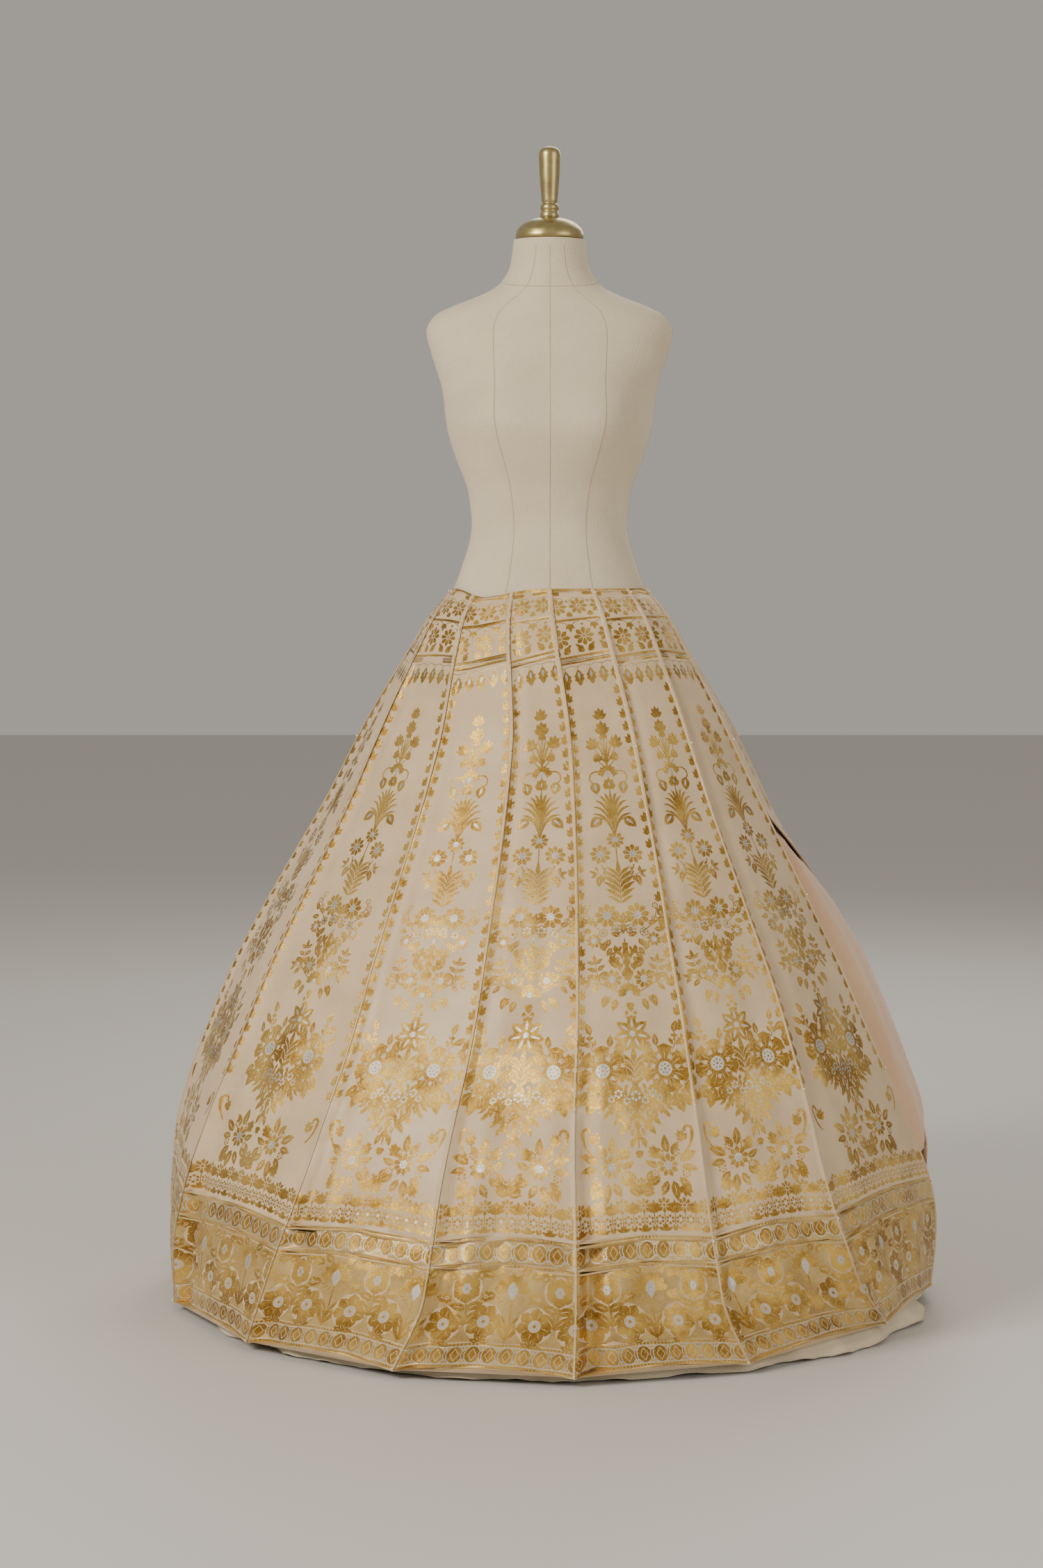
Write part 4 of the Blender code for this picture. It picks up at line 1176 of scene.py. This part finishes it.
def build_flounce(cotton, fray):
    obj = hung_cloth("cotton_flounce", FLOUNCE_GRID, flounce_place, cotton)
    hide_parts("underskirt_flounce")

    ends = bmesh.new()
    draw = np.random.default_rng(7)
    for i in range(STRANDS):
        across = (i + draw.random()) / STRANDS
        foot, inner = flounce_place(np.array([across, across]), np.array([0.995, 0.90]))
        out = foot - inner
        out[2] = 0.0
        out = out / np.linalg.norm(out)
        length = 0.0025 + 0.0050 * draw.random() ** 2
        lean = (draw.random() - 0.5) * 0.9
        along = Vector((out[0] - lean * out[1], out[1] + lean * out[0], -0.15)) * length
        strand = bmesh.ops.create_cone(ends, segments=3, radius1=0.00022, radius2=0.00008, depth=1.0)["verts"]
        turn = Vector((0, 0, 1)).rotation_difference(along.normalized()).to_matrix()
        start = Vector(foot)
        for vert in strand:
            spot = Vector((vert.co.x, vert.co.y, (vert.co.z + 0.5) * along.length))
            vert.co = start + turn @ spot
            vert.co.z = max(vert.co.z, 0.0006)
    frayed = add_piece("frayed_edge", mesh_from(ends, "frayed_edge"), [fray])


def build_pins(pearl):
    """Pearl-headed pins that hold the turned-up seam edges."""
    bm = bmesh.new()
    for seam in range(len(SEAMS)):
        cloth = KALIS[(seam - 1) % len(SEAMS)]
        for row, down in enumerate(PINS_DOWN):
            if row == 2:
                down = down + 0.12 * (seam % 3)
            half = cloth.width(down) / 2.0
            at = cloth.lie(np.array([[half - 0.0022, -down], [half - 0.02, -down]]))[0]
            out = Vector((at[0], at[1], 0.0)).normalized()
            head = bmesh.ops.create_icosphere(bm, subdivisions=2, radius=PIN_RADIUS)["verts"]
            bmesh.ops.translate(bm, verts=head, vec=Vector(at) + out * 0.0012)
    pins = add_piece("pin_heads", mesh_from(bm, "pin_heads"), [pearl])


# Materials


def feed(tree, node, inputs):
    """Sets a node's inputs by label or number. A socket is linked, and anything else is the value."""
    for key, value in inputs.items():
        if isinstance(value, bpy.types.NodeSocket):
            tree.links.new(value, node.inputs[key])
        else:
            node.inputs[key].default_value = value


def add_node(tree, kind, inputs, **settings):
    node = tree.nodes.new(f"ShaderNode{kind}")
    for setting, value in settings.items():
        setattr(node, setting, value)
    feed(tree, node, inputs)
    return node


def math_node(tree, operation, *values):
    return add_node(tree, "Math", dict(enumerate(values)), operation=operation).outputs[0]


def mixed(tree, factor, first, second, blend="MIX"):
    inputs = {"Factor": factor, 6: first, 7: second}
    return add_node(tree, "Mix", inputs, data_type="RGBA", blend_type=blend).outputs[2]


def group_tree(name, inputs, outputs):
    """A node group, the sockets that it is given, and the node that takes its results."""
    tree = bpy.data.node_groups.new(name, "ShaderNodeTree")
    for label, kind, value in inputs:
        socket = tree.interface.new_socket(label, in_out="INPUT", socket_type=f"NodeSocket{kind}")
        if value is not None:
            socket.default_value = value
    for label, kind in outputs:
        tree.interface.new_socket(label, in_out="OUTPUT", socket_type=f"NodeSocket{kind}")
    return tree, tree.nodes.new("NodeGroupInput").outputs, tree.nodes.new("NodeGroupOutput")


def woven_threads():
    """Warp and weft as a height, with slubs that thicken and thin them."""
    tree, given, result = group_tree(
        "woven_threads",
        [("Place", "Vector", None), ("Threads", "Float", 2000.0), ("Slub", "Float", 0.4)],
        [("Height", "Float"), ("Shade", "Float")],
    )
    parts = add_node(tree, "SeparateXYZ", {0: given["Place"]})
    waves = []
    for axis in (0, 1):
        count = math_node(tree, "MULTIPLY", parts.outputs[axis], given["Threads"])
        waves.append(math_node(tree, "SINE", math_node(tree, "MULTIPLY", count, math.pi)))
    cross = math_node(tree, "MULTIPLY", math_node(tree, "MULTIPLY", *waves), 0.5)
    slub = add_node(tree, "TexNoise", {"Vector": given["Place"], "Scale": 420.0, "Detail": 3.0}).outputs["Fac"]
    thick = math_node(tree, "MULTIPLY", slub, given["Slub"])
    feed(tree, result, {"Height": math_node(tree, "ADD", cross, thick), "Shade": slub})
    return tree


def tone_and_painted_reflection_drift():
    """A slow change between two tones over the cloth. On cloth and gilt it is their own tone; on the zari it is
    painted reflection, dull and shining patches of metal thread.
    """
    tree, given, result = group_tree(
        "tone_and_painted_reflection_drift",
        [("Place", "Vector", None), ("Scale", "Float", 8.0), ("Sharp", "Float", 1.6),
         ("First", "Color", None), ("Second", "Color", None)],
        [("Colour", "Color"), ("Mask", "Float")],
    )
    inputs = {"Vector": given["Place"], "Scale": given["Scale"], "Detail": 4.0, "Roughness": 0.62}
    centred = math_node(tree, "SUBTRACT", add_node(tree, "TexNoise", inputs).outputs["Fac"], 0.5)
    steep = math_node(tree, "MULTIPLY", centred, given["Sharp"])
    mask = add_node(tree, "Clamp", {0: math_node(tree, "ADD", steep, 0.5)}).outputs[0]
    feed(tree, result, {"Colour": mixed(tree, mask, given["First"], given["Second"]), "Mask": mask})
    return tree


def new_material(name):
    material = bpy.data.materials.new(name)
    material.use_nodes = True
    return material, material.node_tree, material.node_tree.nodes["Principled BSDF"]


def tones_of(tree, spot, first, second, drift, sharp):
    """The outputs of two tones that drift into each other."""
    inputs = {"Place": spot, "Scale": drift, "Sharp": sharp, "First": (*first, 1.0), "Second": (*second, 1.0)}
    return add_node(tree, "Group", inputs, node_tree=GROUPS["tone_and_painted_reflection_drift"]).outputs


def cloth_material(name, first, second, *, place, threads, slub, relief, rough, metal=0.0, sheen=0.0,
                   drift=8.0, sharp=1.6, rough_swing=0.0, painted_glint=0.0):
    """A woven finish: two drifting tones, thread relief, and a roughness that follows the tones. On the zari the
    two tones are painted reflection, and the glint spots are painted glints on a fine grain.
    """
    material, tree, shader = new_material(name)
    spot = add_node(tree, "TexCoord", {}).outputs[place]
    tones = tones_of(tree, spot, first, second, drift, sharp)
    inputs = {"Place": spot, "Threads": threads, "Slub": slub}
    weave = add_node(tree, "Group", inputs, node_tree=GROUPS["woven_threads"]).outputs
    shade = math_node(tree, "ADD", math_node(tree, "MULTIPLY", weave["Shade"], 0.5), 0.75)
    colour = mixed(tree, 0.5, tones["Colour"], shade, "MULTIPLY")
    roughness = math_node(tree, "ADD", math_node(tree, "MULTIPLY", tones["Mask"], -rough_swing), rough)
    # Painted glints: fine grain spots made smoother, and painted a brighter tone of the zari.
    if painted_glint:
        grain = add_node(tree, "TexVoronoi", {"Vector": spot, "Scale": 620.0})
        grain_shine_and_painted_glint = math_node(tree, "POWER", grain.outputs["Color"], 3.0)
        roughness = math_node(tree, "SUBTRACT", roughness, math_node(tree, "MULTIPLY", grain_shine_and_painted_glint, 0.18))
        painted_glint_colour = (*(min(1.0, 1.35 * c) for c in second), 1.0)
        colour = mixed(tree, math_node(tree, "MULTIPLY", grain_shine_and_painted_glint, painted_glint), colour, painted_glint_colour)
    bumps = add_node(tree, "Bump", {"Height": weave["Height"], "Distance": relief, "Strength": 0.6})
    feed(tree, shader, {
        "Metallic": metal, "Sheen Weight": sheen, "Sheen Roughness": 0.5,
        "Base Color": colour, "Roughness": roughness, "Normal": bumps.outputs["Normal"],
    })
    return material


def gilt_material(name, first, second, rough):
    """Turned metal with a worn gilt: fine turning marks and darker patches."""
    material, tree, shader = new_material(name)
    spot = add_node(tree, "TexCoord", {}).outputs["Object"]
    tones = tones_of(tree, spot, first, second, 60.0, 1.2)
    swing = math_node(tree, "MULTIPLY", tones["Mask"], 0.14)
    stretch = add_node(tree, "Mapping", {"Vector": spot, "Scale": (12.0, 12.0, 900.0)})
    marks = add_node(tree, "TexNoise", {"Vector": stretch.outputs[0], "Scale": 1.0})
    bumps = add_node(tree, "Bump", {"Height": marks.outputs["Fac"], "Distance": 0.0001, "Strength": 0.25})
    feed(tree, shader, {
        "Metallic": 0.9, "Coat Weight": 0.25, "Coat Roughness": 0.2, "Base Color": tones["Colour"],
        "Roughness": math_node(tree, "ADD", swing, rough), "Normal": bumps.outputs["Normal"],
    })
    return material


def linear(r, g, b):
    """A colour given as 0 to 255, in Blender's linear values."""
    return tuple(((c / 255.0 + 0.055) / 1.055) ** 2.4 if c > 10 else c / 3294.6 for c in (r, g, b))


GROUPS = {"woven_threads": woven_threads(), "tone_and_painted_reflection_drift": tone_and_painted_reflection_drift()}
silk = cloth_material("ivory_silk", linear(194, 166, 128), linear(224, 199, 162), place="UV", threads=2200.0,
                      slub=0.5, relief=0.00010, rough=0.46, sheen=0.10, drift=9.0, rough_swing=0.12)
# On the gold, silver and ground zari the two tones are painted reflection, dull and shining patches of metal
# thread, and the glint spots are painted glints.
gold = cloth_material("gold_zari", linear(150, 110, 40), linear(226, 186, 100), place="UV", threads=1500.0,
                      slub=0.8, relief=0.00030, rough=0.44, metal=0.88, drift=13.0, sharp=5.5,
                      rough_swing=0.14, painted_glint=0.5)
silver = cloth_material("silver_zari", linear(186, 180, 172), linear(226, 222, 216), place="UV", threads=1500.0,
                        slub=0.8, relief=0.00030, rough=0.42, metal=0.85, drift=14.0, sharp=2.5,
                        rough_swing=0.12, painted_glint=0.6)
ground = cloth_material("mixed_gold_ground", linear(172, 140, 82), linear(216, 186, 124), place="UV",
                        threads=1100.0, slub=1.0, relief=0.00030, rough=0.52, metal=0.55, drift=14.0, sharp=3.0,
                        rough_swing=0.12, painted_glint=0.4)
net = cloth_material("peach_net", linear(206, 160, 118), linear(226, 186, 146), place="Object", threads=900.0,
                     slub=0.4, relief=0.00040, rough=0.85, sheen=0.6, drift=7.0)
cotton = cloth_material("cream_cotton", linear(214, 196, 164), linear(232, 218, 190), place="Object",
                        threads=1500.0, slub=0.6, relief=0.00020, rough=0.82, sheen=0.3, drift=10.0)
fray = cloth_material("loose_cotton", linear(224, 208, 178), linear(238, 226, 200), place="Object",
                      threads=2500.0, slub=0.6, relief=0.00005, rough=0.85, sheen=0.3)
linen = cloth_material("linen_cover", linear(206, 190, 160), linear(222, 208, 180), place="Object",
                       threads=900.0, slub=1.2, relief=0.00035, rough=0.86, sheen=0.2, drift=11.0)
thread = cloth_material("seam_thread", linear(176, 158, 126), linear(196, 178, 146), place="Object",
                        threads=2500.0, slub=0.8, relief=0.00010, rough=0.85)
gilt = gilt_material("champagne_gilt", linear(150, 132, 82), linear(196, 180, 128), 0.28)
steel = gilt_material("dark_stand_metal", linear(84, 78, 70), linear(104, 98, 88), 0.42)
pearl = gilt_material("pearl_pin", linear(226, 218, 200), linear(240, 234, 220), 0.25)
pearl.node_tree.nodes["Principled BSDF"].inputs["Metallic"].default_value = 0.2

KALIS = [Kali(index) for index in range(len(SEAMS))]
for cloth in KALIS:
    cloth.cloth([silk, gold, silver, ground])
build_form(linen, thread, gilt)
build_net(net)
build_flounce(cotton, fray)
build_pins(pearl)
for node in ("stand_pole", "stand_base"):
    stand = bpy.data.objects[node]
    stand.data.materials.clear()
    stand.data.materials.append(steel)


# Floor, light and camera


def build_studio():
    bm = bmesh.new()
    bmesh.ops.create_grid(bm, x_segments=1, y_segments=1, size=14.0)
    floor = new_object("floor", mesh_from(bm, "floor", smooth=False))
    pale, tree, shader = new_material("pale_floor")
    feed(tree, shader, {"Base Color": (0.62, 0.60, 0.57, 1.0), "Roughness": 0.55})
    floor.data.materials.append(pale)

    world = bpy.data.worlds.new("studio")
    world.use_nodes = True
    sky = world.node_tree.nodes["Background"]
    feed(world.node_tree, sky, {"Color": (0.95, 0.89, 0.80, 1.0), "Strength": 0.42})
    bpy.context.scene.world = world
    for name, place, size, power in (
        ("key", (-3.0, -3.0, 3.0), 1.6, 190.0),
        ("fill", (3.4, -3.0, 2.2), 2.6, 60.0),
        ("back", (0.8, 3.2, 3.2), 2.4, 60.0),
    ):
        light = bpy.data.lights.new(name, "AREA")
        light.energy = power
        light.size = size
        light.color = (1.0, 0.95, 0.87)
        lamp = new_object(name, light)
        lamp.location = place
        aim = Vector((0.0, 0.0, 0.8)) - Vector(place)
        lamp.rotation_euler = aim.to_track_quat("-Z", "Y").to_euler()

    view = bpy.data.cameras.new("camera")
    view.sensor_width = 36.0
    view.lens = 71.6
    view.clip_end = 60.0
    camera = new_object("camera", view)
    camera.location = (-0.041, -4.600, 1.094)
    camera.rotation_euler = (math.radians(90.0 - 4.27), 0.0, 0.0)
    bpy.context.scene.camera = camera


build_studio()
